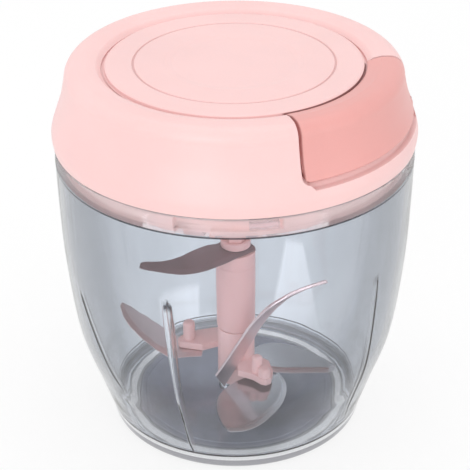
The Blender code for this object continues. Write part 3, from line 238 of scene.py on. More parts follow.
class Tree:
    """Writes nodes into a node tree."""

    def __init__(self, tree):
        self.tree = tree

    def node(self, kind, settings=None, inputs=None, output=0):
        made = self.tree.nodes.new(kind)
        for name, value in (settings or {}).items():
            if name == "stops":
                self.set_stops(made.color_ramp, value)
            else:
                setattr(made, name, value)
        for name, value in (inputs or {}).items():
            if isinstance(value, Value):
                self.tree.links.new(value.socket, made.inputs[name])
            else:
                made.inputs[name].default_value = value
        return Value(self, made.outputs[output]) if made.outputs else None

    @staticmethod
    def set_stops(ramp, stops):
        while len(ramp.elements) < len(stops):
            ramp.elements.new(0.5)
        for element, (place, value) in zip(ramp.elements, stops):
            element.position = place
            element.color = (*value, 1.0)

    def mix(self, factor, first, second):
        """A colour between two colours."""
        inputs = {}
        for name, value in (("Factor", factor), ("A", first), ("B", second)):
            inputs[name] = value if isinstance(value, Value) or name == "Factor" else (*value, 1.0)
        made = self.tree.nodes.new("ShaderNodeMix")
        made.data_type = "RGBA"
        sockets = {"Factor": made.inputs[0], "A": made.inputs[6], "B": made.inputs[7]}
        for name, value in inputs.items():
            if isinstance(value, Value):
                self.tree.links.new(value.socket, sockets[name])
            else:
                sockets[name].default_value = value
        return Value(self, made.outputs[2])

    def place(self):
        """Object coordinates, in metres."""
        return self.node("ShaderNodeTexCoord", output="Object")

    def parts(self, vector):
        """The x, y and z of a vector."""
        made = self.tree.nodes.new("ShaderNodeSeparateXYZ")
        self.tree.links.new(vector.socket, made.inputs[0])
        return [Value(self, socket) for socket in made.outputs]

    def round_parts(self, vector):
        """The x, y and z of a vector and its distance from the upright axis."""
        x, y, height = self.parts(vector)
        return x, y, height, (x * x + y * y) ** 0.5

    def mark(self, name):
        """A number that the mesh carries for its material."""
        return self.node("ShaderNodeAttribute", {"attribute_name": name}, output="Fac")

    def ray(self, kind):
        """One for rays of a kind, and zero for the others."""
        return self.node("ShaderNodeLightPath", output=f"Is {kind} Ray")

    def store(self, geometry, name, value, kind="FLOAT", domain="POINT"):
        """Geometry that carries a value under a name."""
        return self.node("GeometryNodeStoreNamedAttribute", {"data_type": kind, "domain": domain},
                         {"Geometry": geometry, "Name": name, "Value": value})

    def stored(self, name):
        return self.node("GeometryNodeInputNamedAttribute", {"data_type": "FLOAT"}, {"Name": name})

    def vector(self, x, y, z=0.0):
        return self.node("ShaderNodeCombineXYZ", None, {0: x, 1: y, 2: z})

    def scaled(self, vector, x, y, z):
        return self.node("ShaderNodeMapping", None, {"Vector": vector, "Scale": (x, y, z)})

    def noise(self, vector, scale, detail=2.0, roughness=0.5):
        return self.node("ShaderNodeTexNoise", None,
                         {"Vector": vector, "Scale": scale, "Detail": detail, "Roughness": roughness})

    def bump(self, height, strength, distance):
        return self.node("ShaderNodeBump", None,
                         {"Height": height, "Strength": strength, "Distance": distance})


def new_material(name):
    made = bpy.data.materials.new(name)
    made.use_nodes = True
    made.node_tree.nodes.clear()
    return made, Tree(made.node_tree)


def close_material(tree, shader):
    tree.node("ShaderNodeOutputMaterial", None, {"Surface": shader})


def seen_direct(tree):
    """One where the eye sees a surface directly, in a reflection or through clear plastic, and zero elsewhere."""
    return tree.ray("Camera").most(tree.ray("Glossy")).most(tree.ray("Transmission"))


def principled(tree, **sockets):
    return tree.node("ShaderNodeBsdfPrincipled", None,
                     {name.replace("_", " "): value for name, value in sockets.items()})


def dimmed(tint, factor):
    return tuple(channel * factor for channel in tint)


# Share of each channel of a plastic's colour that is left under the painted shadow in a narrow gap
GAP_SHADOW_COLOUR = (0.42, 0.30, 0.30)


def moulded_plastic(name, tint, roughness=0.38, grain=0.10, shade=0.94):
    """Satin moulded plastic: a fine spark-eroded grain, faint flow lines, a slightly uneven tone and painted shadow
    where the mesh marks a gap.
    """
    material, tree = new_material(name)
    place = tree.place()
    cloud = tree.noise(place, 28.0, 3.0)
    speck = tree.noise(place, 2600.0, 2.0, 0.6)
    flow = tree.noise(tree.scaled(place, 1.0, 1.0, 0.25), 160.0, 2.0)
    tone = (cloud * 0.7 + speck * 0.3).rise(0.3, 0.7)
    base = tree.mix(tone, dimmed(tint, shade), tint)
    gloss = roughness - 0.05 + speck * 0.08 + cloud * 0.03
    height = speck * 0.7 + flow * 0.3
    # Painted shadow: darker where the mesh marks a narrow gap or an engraved groove
    base = tree.mix(tree.mark("seam"), base, tuple(channel * left for channel, left in zip(tint, GAP_SHADOW_COLOUR)))
    shader = principled(tree, Base_Color=base, Roughness=gloss, IOR=1.49,
                        Normal=tree.bump(height, grain, 0.00012),
                        Subsurface_Weight=0.06, Subsurface_Radius=(0.004, 0.002, 0.0015), Subsurface_Scale=1.0)
    close_material(tree, shader)
    return material


# Zones of the clear bowl, in metres. Two numbers are where a zone starts and is full, four add where it fades and ends
WALL_OUTSIDE = (0.0609, 0.0611)
FOOT_OUTSIDE = (0.0430, 0.0434)
FOOT_HEIGHT = (0.020, 0.022)
RIM_HEIGHT = (0.1082, 0.1088)
SKIRT_EDGE = (0.1020, 0.1028)
BEHIND_SKIRT = (0.1022, 0.1030)
UPPER_SHADE_LINE = (0.10190, 0.10205, 0.10255, 0.10275)
FOOT_CORNER = (0.0450, 0.0454)
CORNER_SHADE_LINE = (0.0064, 0.0066, 0.0068, 0.0071)
FOOT_BEVEL_HIGHLIGHT = (0.0039, 0.0043, 0.0059, 0.0063)
SOLE_RADIUS = (0.0425, 0.0430)
SOLE_HEIGHT = (0.0039, 0.0043)
BACK_WALL_SHADE = (0.026, 0.046)
LEFT_WINDOW = (-0.0315, -0.0300, -0.0155, -0.0140)
LEFT_WINDOW_FOOT = (0.018, 0.022)
RIGHT_WINDOW_START = (0.0122, 0.0134)
RIGHT_WINDOW_END = (0.0350, 0.0364)
RIGHT_WINDOW_FOOT = (0.036, 0.040)


def clear_plastic(name, tint, settings):
    """Clear moulded plastic that bends light. Painted shade darkens it along its sides, where it is seen at a slant,
    and a painted bluish shade darkens its back wall, apart from two painted window reflections there. Painted shade
    darkens the caps and edges of its flutes, its rim and two fine lines, a painted glint lightens its deepest flute,
    painted grey shade lies on its sole and a painted highlight brightens the bevel of its foot."""
    material, tree = new_material(name)
    place = tree.place()
    x, y, height, radius = tree.round_parts(place)
    outside = radius.rise(*FOOT_OUTSIDE) * height.fall(*FOOT_HEIGHT) + radius.rise(*WALL_OUTSIDE)
    flute, cap = tree.mark("flute"), tree.mark("flute_cap")
    # Painted highlight: a pale, partly mirror-like glint down the middle of the deepest flute
    glint = tree.mark("flute_depth").rise(0.35, 0.75) * 0.2
    rim = height.rise(*RIM_HEIGHT)
    corner = radius.rise(*FOOT_CORNER)
    edge = corner * height.band(*CORNER_SHADE_LINE)
    # Painted highlight: a bright, partly mirror-like band on the foot's bevel
    bevel = corner * height.band(*FOOT_BEVEL_HIGHLIGHT)
    # Painted grey shade, partly mirror-like, on the sole of the foot
    sole = radius.rise(*SOLE_RADIUS) * height.fall(*SOLE_HEIGHT)
    # Two painted window reflections: patches on the back wall that are spared its painted shade
    left = x.band(*LEFT_WINDOW) * height.fall(*LEFT_WINDOW_FOOT)
    right = ((x - height * 0.2).rise(*RIGHT_WINDOW_START) * (x + height * 0.23).fall(*RIGHT_WINDOW_END)
             * height.fall(*RIGHT_WINDOW_FOOT))
    # Painted bluish shade on the back wall, except in the painted window reflections
    back = y.rise(*BACK_WALL_SHADE) * (1.0 - left.most(right)) * height.rise(0.006, 0.009)
    wave = tree.noise(tree.scaled(place, 1.0, 1.0, 0.16), 60.0, 2.0) * height.rise(0.007, 0.014)
    cloud = tree.noise(place, 35.0, 2.0)
    streak = tree.noise(tree.scaled(place, 1.0, 1.0, 0.10), 70.0, 2.0).rise(0.42, 0.68)
    facing = tree.node("ShaderNodeLayerWeight", None, {"Blend": 0.5}, "Facing")
    seen = tree.ray("Camera") * height.fall(*SKIRT_EDGE) * height.rise(0.006, 0.030, 0.65, 1.0)
    # Painted shade: dark flute caps and edges, a dark rim and two fine painted shade lines on the outside
    dark = cap * 0.97 + flute * 0.38 + rim * 0.5 + (height.band(*UPPER_SHADE_LINE) * 1.2 + edge) * outside.least(1.0)
    dark = dark.least(0.99)
    base = tree.mix(streak, dimmed(tint, 0.93), tint)
    # In turn: painted shade along the sides, painted bluish shade on the back wall, painted shade lines, the painted
    # glint, painted grey shade on the sole and the painted highlight on the foot's bevel
    for factor, shade in ((facing.rise(0.12, 0.50) * seen * settings.painted_side_shade, (0.0, 0.0, 0.0)),
                          (back * 0.6, (0.50, 0.53, 0.57)),
                          (dark, (0.012, 0.010, 0.014)),
                          (glint * (1.0 - dark), (0.93, 0.88, 0.88)),
                          (sole, (0.44, 0.44, 0.47)),
                          (bevel, (0.92, 0.93, 0.95))):
        base = tree.mix(factor, base, shade)
    shader = principled(tree, Base_Color=base, IOR=1.49, Transmission_Weight=1.0,
                        Roughness=0.012 + flute * 0.04 + cloud * 0.012 + bevel * 0.25,
                        Metallic=bevel * 0.8 + sole * 0.65 + glint * 0.5,
                        Normal=tree.bump(wave, settings.ripple, 0.0009))
    shadow = tree.ray("Shadow") * settings.inside_light
    clear = shadow.most(height.rise(*BEHIND_SKIRT) * (1.0 - rim) * 0.45)
    open_way = tree.node("ShaderNodeBsdfTransparent", None, {"Color": (1.0, 1.0, 1.0, 1.0)})
    close_material(tree, tree.node("ShaderNodeMixShader", None, {0: clear, 1: shader, 2: open_way}))
    return material


def polished_steel(name, tint, face, roughness=0.10):
    """Polished blade steel: a mirror-like face and a brighter ground bevel, with fine grinding lines."""
    material, tree = new_material(name)
    place = tree.place()
    ground = tree.mark("ground")
    lines = tree.noise(tree.scaled(place, 1.0, 0.06, 0.3), 1500.0, 2.0, 0.6)
    wipe = tree.noise(place, 60.0, 3.0)
    plate = tree.mix(wipe.rise(0.35, 0.7), dimmed(tint, face * 0.9), dimmed(tint, face))
    base = tree.mix(ground, plate, tint)
    shader = principled(tree, Base_Color=base, Metallic=1.0,
                        Roughness=roughness + lines * 0.04 + wipe * 0.04 + ground * 0.22,
                        Normal=tree.bump(lines, 0.03, 0.00003))
    close_material(tree, shader)
    return material


def coated_steel(name, tint):
    """Dark coated blade: satin and a little uneven."""
    material, tree = new_material(name)
    place = tree.place()
    cloud = tree.noise(place, 70.0, 3.0)
    speck = tree.noise(place, 2200.0, 2.0, 0.6)
    base = tree.mix(cloud.rise(0.3, 0.7), dimmed(tint, 0.82), tint)
    shader = principled(tree, Base_Color=base, Metallic=0.35, Roughness=0.32 + speck * 0.06,
                        Coat_Weight=0.25, Coat_Roughness=0.18, Normal=tree.bump(speck, 0.03, 0.00004))
    close_material(tree, shader)
    return material


def plain_metal(name, tint, roughness=0.3, line_scale=900.0):
    """Turned or drawn metal with fine lines and a slightly uneven shine."""
    material, tree = new_material(name)
    place = tree.place()
    lines = tree.noise(tree.scaled(place, 0.2, 0.2, 1.0), line_scale, 2.0)
    cloud = tree.noise(place, 180.0, 3.0)
    base = tree.mix(cloud.rise(0.3, 0.75), dimmed(tint, 0.8), tint)
    shader = principled(tree, Base_Color=base, Metallic=1.0, Roughness=roughness - 0.06 + lines * 0.14,
                        Normal=tree.bump(lines, 0.12, 0.00005))
    close_material(tree, shader)
    return material


# Bands round the axis on silicone, in metres: the painted highlight on the pad's lip, the painted shade between pad
# and ring, and the painted shade from the ring's outside outwards
PAD_LIP_HIGHLIGHT = (0.0359, 0.0361, 0.0364, 0.0366)
RING_INSIDE_SHADE = (0.0366, 0.0368, 0.0379, 0.0382)
RING_OUTSIDE_SHADE = (0.0403, 0.0406)


def silicone(name, tint, shade=0.86, ring_lines=0.0, glow=0.0):
    """Matte silicone rubber with a powdery grain, a painted highlight on the pad's lip, bands of painted shade round
    the axis and, on the pad, faint moulded rings. The glow of a translucent one stands for light that passes through
    it."""
    material, tree = new_material(name)
    place = tree.place()
    speck = tree.noise(place, 1800.0, 3.0, 0.65)
    cloud = tree.noise(place, 45.0, 3.0)
    *_, radius = tree.round_parts(place)
    rings = (radius * 2600.0).sine() * 0.5 + 0.5
    base = tree.mix((cloud * 0.6 + speck * 0.4).rise(0.3, 0.7), dimmed(tint, shade), tint)
    # Painted shade between pad and ring and from the ring's outside outwards, which also darkens the lid's seal;
    # painted highlight on the pad's lip
    shaded = radius.band(*RING_INSIDE_SHADE).most(radius.rise(*RING_OUTSIDE_SHADE)) * 0.7
    base = tree.mix(radius.band(*PAD_LIP_HIGHLIGHT) * 0.5, base, (0.9, 0.9, 0.9))
    base = tree.mix(shaded, base, (0.10, 0.10, 0.11))
    shader = principled(tree, Base_Color=base, Roughness=0.54 + speck * 0.08, IOR=1.42,
                        Emission_Color=base, Emission_Strength=glow,
                        Normal=tree.bump(speck * (1.0 - ring_lines) + rings * ring_lines, 0.07, 0.00006))
    close_material(tree, shader)
    return material


def braided_cord(name, tint):
    """Braided nylon: strands cross both ways round the cord, read from its own UV map, with painted shade where the
    weave is low.
    """
    material, tree = new_material(name)
    uv = tree.node("ShaderNodeUVMap", {"uv_map": "cord_map"})
    around, along, _ = tree.parts(uv)
    left = ((around + along) * math.tau).sine()
    right = ((around - along) * math.tau).sine()
    weave = left.most(right) * 0.5 + 0.5
    # Painted shade: darker where the weave is low, between the strands
    base = tree.mix(weave, dimmed(tint, 0.62), tint)
    shader = principled(tree, Base_Color=base, Roughness=0.75 - weave * 0.12, Sheen_Weight=0.3,
                        Normal=tree.bump(weave, 0.6, 0.00015))
    close_material(tree, shader)
    return material


# Meshes

def mesh_object(name, mesh, material=None):
    if material:
        mesh.materials.clear()
        mesh.materials.append(material)
    made = bpy.data.objects.new(name, mesh)
    bpy.context.scene.collection.objects.link(made)
    return made


def store_marks(mesh, name, values):
    """Gives each point of a mesh a number for its material to read."""
    mesh.attributes.new(name, "FLOAT", "POINT").data.foreach_set("value", np.array(values, np.float32))


@contextmanager
def edited(mesh):
    """A mesh opened for editing and written back afterwards."""
    bm = bmesh.new()
    bm.from_mesh(mesh)
    yield bm
    bm.to_mesh(mesh)
    bm.free()


def smooth_shaded(mesh):
    mesh.shade_smooth()
    mesh.set_sharp_from_angle(angle=SHARP_ANGLE)
    return mesh


def band_faces(rows, count, ring=True):
    """Faces between rows of as many points, the last row joined to the first where they make a ring."""
    faces = []
    for row in range(rows if ring else rows - 1):
        after = (row + 1) % rows
        for index in range(count):
            nxt = (index + 1) % count
            faces.append((row * count + index, row * count + nxt, after * count + nxt, after * count + index))
    return faces


def closed_mesh(name, points, faces):
    """A mesh with its doubles merged, its faces pointing out and its sharp edges marked."""
    mesh = bpy.data.meshes.new(name)
    mesh.from_pydata([tuple(p) for p in points], [], faces)
    with edited(mesh) as bm:
        bmesh.ops.remove_doubles(bm, verts=bm.verts, dist=2e-6)
        bmesh.ops.dissolve_degenerate(bm, edges=bm.edges, dist=1e-6)
        bmesh.ops.recalc_face_normals(bm, faces=bm.faces)
    return smooth_shaded(mesh)


def lofted(name, sections, ring=True):
    """A closed mesh through sections, each a closed outline of as many points, joined end to end or capped."""
    count = len(sections[0])
    faces = band_faces(len(sections), count, ring)
    if not ring:
        faces.append(tuple(range(count)))
        faces.append(tuple((len(sections) - 1) * count + index for index in range(count)))
    return closed_mesh(name, np.concatenate(sections), faces)


def around(outline, angles):
    """Sections of an outline of (radius, height) in millimetres, one at each angle."""
    outline = np.asarray(outline, float) * MM
    return [np.stack([outline[:, 0] * math.cos(a), outline[:, 0] * math.sin(a), outline[:, 1]], axis=1)
            for a in angles]


def turned(name, outline, steps=ROUND_STEPS):
    """A piece turned about the upright axis from a closed outline in millimetres."""
    return lofted(name, around(outline, [math.tau * index / steps for index in range(steps)]))


def rounded(corners, steps=5, closed=True):
    """An outline whose corners are rounded, from (radius, height, rounding) in millimetres."""
    points = []
    count = len(corners)
    for index, (x, y, fillet) in enumerate(corners):
        here = np.array((x, y), float)
        if fillet <= 0 or (not closed and index in (0, count - 1)):
            points.append(here)
            continue
        before = np.array(corners[index - 1][:2], float) - here
        after = np.array(corners[(index + 1) % count][:2], float) - here
        into, out = before / np.linalg.norm(before), after / np.linalg.norm(after)
        half = math.acos(np.clip(into @ out, -1, 1)) / 2
        reach = min(fillet / math.tan(half), np.linalg.norm(before) * 0.49, np.linalg.norm(after) * 0.49)
        start, end = here + into * reach, here + out * reach
        for step in range(steps + 1):
            t = step / steps
            points.append(start * (1 - t) ** 2 + here * 2 * t * (1 - t) + end * t ** 2)
    return np.array(points)


def curve_through(knots, per_span):
    """Points on a smooth curve through knots of any dimension."""
    knots = [np.array(k, float) for k in knots]
    padded = [knots[0]] + knots + [knots[-1]]
    points = []
    for index in range(len(knots) - 1):
        a, b, c, d = padded[index:index + 4]
        for step in range(per_span):
            t = step / per_span
            points.append(0.5 * (2 * b + (c - a) * t + (2 * a - 5 * b + 4 * c - d) * t ** 2
                                 + (3 * b - a - 3 * c + d) * t ** 3))
    points.append(knots[-1])
    return np.array(points)


def resampled(points, count):
    """A line with count points evenly spaced along it."""
    points = np.asarray(points, float)
    run = np.concatenate([[0], np.cumsum(np.linalg.norm(np.diff(points, axis=0), axis=1))])
    marks = np.linspace(0, run[-1], count)
    return np.stack([np.interp(marks, run, points[:, axis]) for axis in range(points.shape[1])], axis=1)


def moved_in(outline, distance):
    """A closed outline drawn in by a distance, square to itself."""
    outline = np.asarray(outline, float)
    along = np.roll(outline, -1, axis=0) - np.roll(outline, 1, axis=0)
    along /= np.maximum(np.linalg.norm(along, axis=1), 1e-9)[:, None]
    area = np.sum(outline[:, 0] * np.roll(outline[:, 1], -1) - np.roll(outline[:, 0], -1) * outline[:, 1])
    side = 1.0 if area > 0 else -1.0
    return outline + np.stack([-along[:, 1], along[:, 0]], axis=1) * distance * side


def softened(name, node, width, material):
    """A copy of a solid with its sharp edges rounded over."""
    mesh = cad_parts[node].data.copy()
    mesh.name = name
    with edited(mesh) as bm:
        bmesh.ops.remove_doubles(bm, verts=bm.verts, dist=1e-6)
        bmesh.ops.dissolve_limit(bm, angle_limit=math.radians(1.0), verts=bm.verts, edges=bm.edges)
        sharp = [e for e in bm.edges if len(e.link_faces) == 2 and e.calc_face_angle(0) > math.radians(28)]
        bmesh.ops.bevel(bm, geom=sharp, offset=width, segments=2, profile=0.6, affect="EDGES", clamp_overlap=True)
    return mesh_object(name, smooth_shaded(mesh), material)


def place_piece(made, body, slot, *nodes):
    """Gives a finished piece its body and hides the solids that it stands for; the slot is not used."""
    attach(made, body)
    if nodes:
        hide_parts(*nodes)
    return made


def new_piece(name, mesh, material, body, slot, *nodes):
    """Makes a mesh a finished piece."""
    return place_piece(mesh_object(name, mesh, material), body, slot, *nodes)


def dress_node(node, material):
    """Gives a solid that keeps its own shape a better material."""
    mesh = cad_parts[node].data
    mesh.materials.clear()
    mesh.materials.append(material)


# Geometry Nodes

class Rule:
    """A Geometry Nodes tree with named inputs, run once on an object and made a plain mesh."""

    def __init__(self, name):
        self.group = bpy.data.node_groups.new(name, "GeometryNodeTree")
        self.group.interface.new_socket("Geometry", in_out="INPUT", socket_type="NodeSocketGeometry")
        self.group.interface.new_socket("Geometry", in_out="OUTPUT", socket_type="NodeSocketGeometry")
        self.tree = Tree(self.group)
        self.start = self.group.nodes.new("NodeGroupInput")
        self.identifiers = {}

    def input(self, name, default, kind="NodeSocketFloat"):
        socket = self.group.interface.new_socket(name, in_out="INPUT", socket_type=kind)
        socket.default_value = default
        self.identifiers[name] = socket.identifier
        return Value(self.tree, self.start.outputs[name])

    def geometry(self):
        return Value(self.tree, self.start.outputs["Geometry"])

    def close(self, result, material):
        real = self.tree.node("GeometryNodeRealizeInstances", None, {"Geometry": result})
        dressed = self.tree.node("GeometryNodeSetMaterial", None, {"Geometry": real, "Material": material})
        self.tree.node("NodeGroupOutput", None, {0: dressed})

    def run(self, name, mesh, material, **values):
        """The rule's result on a mesh, as a finished object."""
        worker = bpy.data.objects.new(name + "_maker", mesh)
        bpy.context.scene.collection.objects.link(worker)
        modifier = worker.modifiers.new(self.group.name, "NODES")
        modifier.node_group = self.group
        for key, value in values.items():
            modifier[self.identifiers[key.replace("_", " ")]] = value
        graph = bpy.context.evaluated_depsgraph_get()
        result = bpy.data.meshes.new_from_object(worker.evaluated_get(graph), depsgraph=graph)
        result.name = name
        worker.modifiers.clear()
        bpy.data.objects.remove(worker, do_unlink=True)
        if not result.polygons:
            raise RuntimeError(f"the rule {self.group.name} made no faces")
        return mesh_object(name, result, material)


# Outlines of the lid, in millimetres

LID_TOP = 137.0
LID_EDGE = 109.3
LID_EDGE_RADIUS = 62.1
BELLY_HEIGHT = 113.4
CAP_RADIUS = 45.1
CAP_EDGE = 43.6
CAP_TOP = 135.9
CAP_BOTTOM = 134.4
RING_INNER = 45.2
LEDGE_TOP = 134.1
LEDGE_INNER = 43.5
POCKET_FLOOR = 116.2
POCKET_SHELF = 117.9
HANDLE_BOTTOM = 118.8
HANDLE_INNER = 46.1
HANDLE_LIP = 44.5
HANDLE_BACK = 47.8
RIB_BOTTOM = 133.6


def lid_wall(settings):
    """The lid's outer line from its lower edge to the shoulder's top."""
    belly = settings.belly / MM
    neck = settings.neck / MM
    turn = settings.shoulder / MM
    shoulder = LID_TOP - turn
    drop = belly - neck
    rise = shoulder - BELLY_HEIGHT
    knots = [(LID_EDGE_RADIUS, LID_EDGE), (belly, BELLY_HEIGHT), (belly - 0.30 * drop, BELLY_HEIGHT + 0.28 * rise),
             (belly - 0.70 * drop, BELLY_HEIGHT + 0.60 * rise), (neck, shoulder)]
    wall = curve_through(knots, 12)
    arc = [(neck - turn + turn * math.cos(a), shoulder + turn * math.sin(a))
           for a in np.linspace(0, math.pi / 2, 14)[1:]]
    return np.concatenate([wall, arc])


def cut_at(line, height):
    """The parts of a rising line below and above a height, with the point on the height in both."""
    radius = float(np.interp(height, line[:, 1], line[:, 0]))
    point = np.array([[radius, height]])
    return (np.concatenate([line[line[:, 1] < height - 0.05], point]),
            np.concatenate([point, line[line[:, 1] > height + 0.05]]))


# Operators

class CHOPPER_OT_bowl(bpy.types.Operator):
    """Makes the clear bowl with its leaf-shaped flutes and lock lugs"""
    bl_idname = "chopper.bowl"
    bl_label = "Bowl"

    # Azimuth and height of each flute's top and bottom, in degrees and millimetres, and its share of the full depth
    flutes = ((-151.0, 62.0, -136.0, 28.0, 0.25), (-111.4, 75.5, -108.9, 6.5, 1.0), (-40.0, 75.0, -37.5, 15.0, 0.35),
              (32.0, 74.0, 30.0, 18.0, 0.2), (68.0, 74.0, 66.0, 18.0, 0.2), (104.0, 74.0, 104.0, 18.0, 0.2),
              (140.0, 74.0, 142.0, 18.0, 0.2))
    flute_radius = 58.0
    lug_angles = tuple(-81.2 + 90.0 * index for index in range(4))

    def outline(self, settings):
        """The outer line from the foot to the rim, and the whole closed outline."""
        wall = settings.wall / MM
        rim = settings.rim / MM
        top = settings.height / MM
        knots = [(46.0, 3.6), (47.4, 8.0), (51.4, 20.0), (57.0, 38.0), (60.4, 65.0), (61.6, 89.0), (rim, top - 0.5)]
        outer = curve_through(knots, 24)
        along = np.gradient(outer, axis=0)
        along /= np.linalg.norm(along, axis=1)[:, None]
        inner = outer + np.stack([-along[:, 1], along[:, 0]], axis=1) * wall
        inner = inner[(inner[:, 1] > 7.2) & (inner[:, 1] < top - 0.6)][::3]
        foot = [(41.3, 3.0), (41.3, 0.6), (41.7, 0.2), (43.5, 0.2), (44.6, 0.45), (45.4, 1.2), (45.85, 2.3)]
        inside = rim - wall
        rim_line = [(rim - 0.15, top - 0.12), (rim - 0.5, top), (inside + 0.5, top), (inside + 0.1, top - 0.2)]
        corner = inner[0][0]
        floor = [(corner - 0.15, 6.4), (corner - 0.5, 5.85), (corner - 1.1, 5.5), (corner - 1.9, 5.4),
                 (corner - 2.3, 5.4), (38.0, 5.4), (24.0, 5.4), (12.0, 5.4), (8.0, 5.4), (7.4, 5.42), (6.7, 5.6),
                 (6.1, 6.2), (5.8, 7.4), (5.6, 8.1), (5.2, 8.4), (2.4, 8.4), (2.3, 8.2), (2.3, 4.4), (0.0, 4.4),
                 (0.0, 3.0), (20.0, 3.0), (40.5, 3.0)]
        return np.concatenate([foot, outer, rim_line, inner[::-1], floor]), len(foot), len(outer)

    def half_width(self, settings):
        """Half the width of a flute, as an angle."""
        return settings.flute_width / MM / 2 / self.flute_radius

    def columns(self, settings):
        """Angles at which columns stand: even ones, and close ones along each flute."""
        half = self.half_width(settings)
        fine = np.linspace(-1.25, 1.25, 15) * half
        angles = list(np.radians(np.arange(0, 360, 2.5)))
        for top, *_ in self.flutes:
            centre = math.radians(top) % math.tau
            angles = [a for a in angles if abs((a - centre + math.pi) % math.tau - math.pi) > 1.5 * half]
            angles += [(centre + offset) % math.tau for offset in fine]
        return sorted(angles)

    def flute_place(self, angle_now, height, settings):
        """How far a place is across and below the top of the nearest flute, and how far the flutes lean there."""
        centres = [flute[0] for flute in self.flutes]
        leans = [(flute[2] - flute[0]) * min(max((flute[1] - height) / (flute[1] - flute[3]), 0.0), 1.0)
                 for flute in self.flutes]
        lean = math.radians(np.interp(math.degrees(angle_now), centres, leans, period=360))
        offs = [(angle_now - math.radians(centre) + math.pi) % math.tau - math.pi for centre in centres]
        nearest = min(range(len(offs)), key=lambda index: abs(offs[index]))
        return offs[nearest] / self.half_width(settings), self.flutes[nearest], lean

    @staticmethod
    def flute_depth(across, flute, height):
        """Depth of the press at a place, from 0 on the flute's edge to its full share on its middle line."""
        _, top, _, bottom, full = flute
        below = top - height
        if not 0.0 < below < top - bottom:
            return 0.0
        full *= 1.0 - 0.45 * below / (top - bottom)
        width = math.sqrt(max(0.0, 1.0 - max(0.0, 1.0 - below / 1.5) ** 2))
        width *= min(1.0, (top - bottom - below) / 5.0)
        return full * max(0.0, 1.0 - (across / max(width, 0.05)) ** 2)

    def execute(self, context):
        settings = context.scene.chopper_bowl
        colours = context.scene.chopper_colours
        outline, first, count = self.outline(settings)
        columns = self.columns(settings)
        sections, pressed, caps, edges = [], [], [], []
        for angle_now in columns:
            section = np.zeros((len(outline), 3))
            for index, (radius, height) in enumerate(outline):
                across, flute, lean = self.flute_place(angle_now, height, settings)
                turn = angle_now + lean
                section[index] = (radius * math.cos(turn) * MM, radius * math.sin(turn) * MM, height * MM)
                depth = 0.0
                if first <= index < first + count and abs(across) < 1.3:
                    depth = self.flute_depth(across, flute, height)
                pressed.append(depth)
                # Marks for painted shade in the flutes: dark caps at their tops and dark edges along their sides,
                # weaker on shallow flutes
                shade = min(1.0, max(0.0, (4.2 - (flute[1] - height)) / 1.8))
                part = depth / flute[4]
                caps.append(shade * min(1.0, part * 3) * (0.35 + 0.65 * flute[4]))
                edges.append(min(1.0, part * 6) * (1.0 - min(part, 1.0)) ** 2 * flute[4])
            sections.append(section)
        material = clear_plastic("clear_plastic", colours.bowl, settings)
        mesh = self.base_mesh(sections, {"flute_depth": pressed, "flute_cap": caps, "flute": edges})
        made = self.press_flutes(mesh, material, settings)
        self.add_lugs(made, settings)
        place_piece(made, "bowl", "clear_plastic", "bowl")
        return {"FINISHED"}

    @staticmethod
    def base_mesh(sections, marks):
        """The smooth bowl, with the marks of its flutes on its points."""
        mesh = bpy.data.meshes.new("bowl_base")
        mesh.from_pydata([tuple(p) for p in np.concatenate(sections)], [], band_faces(len(sections), len(sections[0])))
        for name, values in marks.items():
            store_marks(mesh, name, values)
        with edited(mesh) as bm:
            bmesh.ops.remove_doubles(bm, verts=bm.verts, dist=2e-6)
            bmesh.ops.recalc_face_normals(bm, faces=bm.faces)
        return mesh

    @staticmethod
    def press_flutes(mesh, material, settings):
        """Presses each flute into the wall, towards the axis."""
        rule = Rule("Leaf flutes")
        depth = rule.input("Flute depth", 0.0007)
        tree = rule.tree
        x, y, _, radius = tree.round_parts(tree.node("GeometryNodeInputPosition"))
        pressed = tree.stored("flute_depth")
        inward = tree.vector(*(axis / radius * pressed * depth * -1.0 for axis in (x, y)))
        moved = tree.node("GeometryNodeSetPosition", None, {"Geometry": rule.geometry(), "Offset": inward})
        smooth = tree.node("GeometryNodeSetShadeSmooth", None, {0: moved, "Shade Smooth": True})
        rule.close(smooth, material)
        return rule.run("clear_bowl", mesh, material, Flute_depth=settings.flute_depth)

    def add_lugs(self, made, settings):
        """Joins the four lock lugs to the rim's inner face."""
        inner = (settings.rim - settings.wall) / MM
        outline = rounded([(inner - 1.5, 104.2, 0.5), (inner + 0.1, 104.2, 0), (inner + 0.1, 106.6, 0),
                           (inner - 1.5, 106.6, 0.5)])
        with edited(made.data) as bm:
            for centre in self.lug_angles:
                angles = np.radians(np.linspace(centre - 4.6, centre + 4.6, 9))
                lug = lofted("lug", around(outline, angles), ring=False)
                bm.from_mesh(lug)
                bpy.data.meshes.remove(lug)
        made.data.set_sharp_from_angle(angle=SHARP_ANGLE)


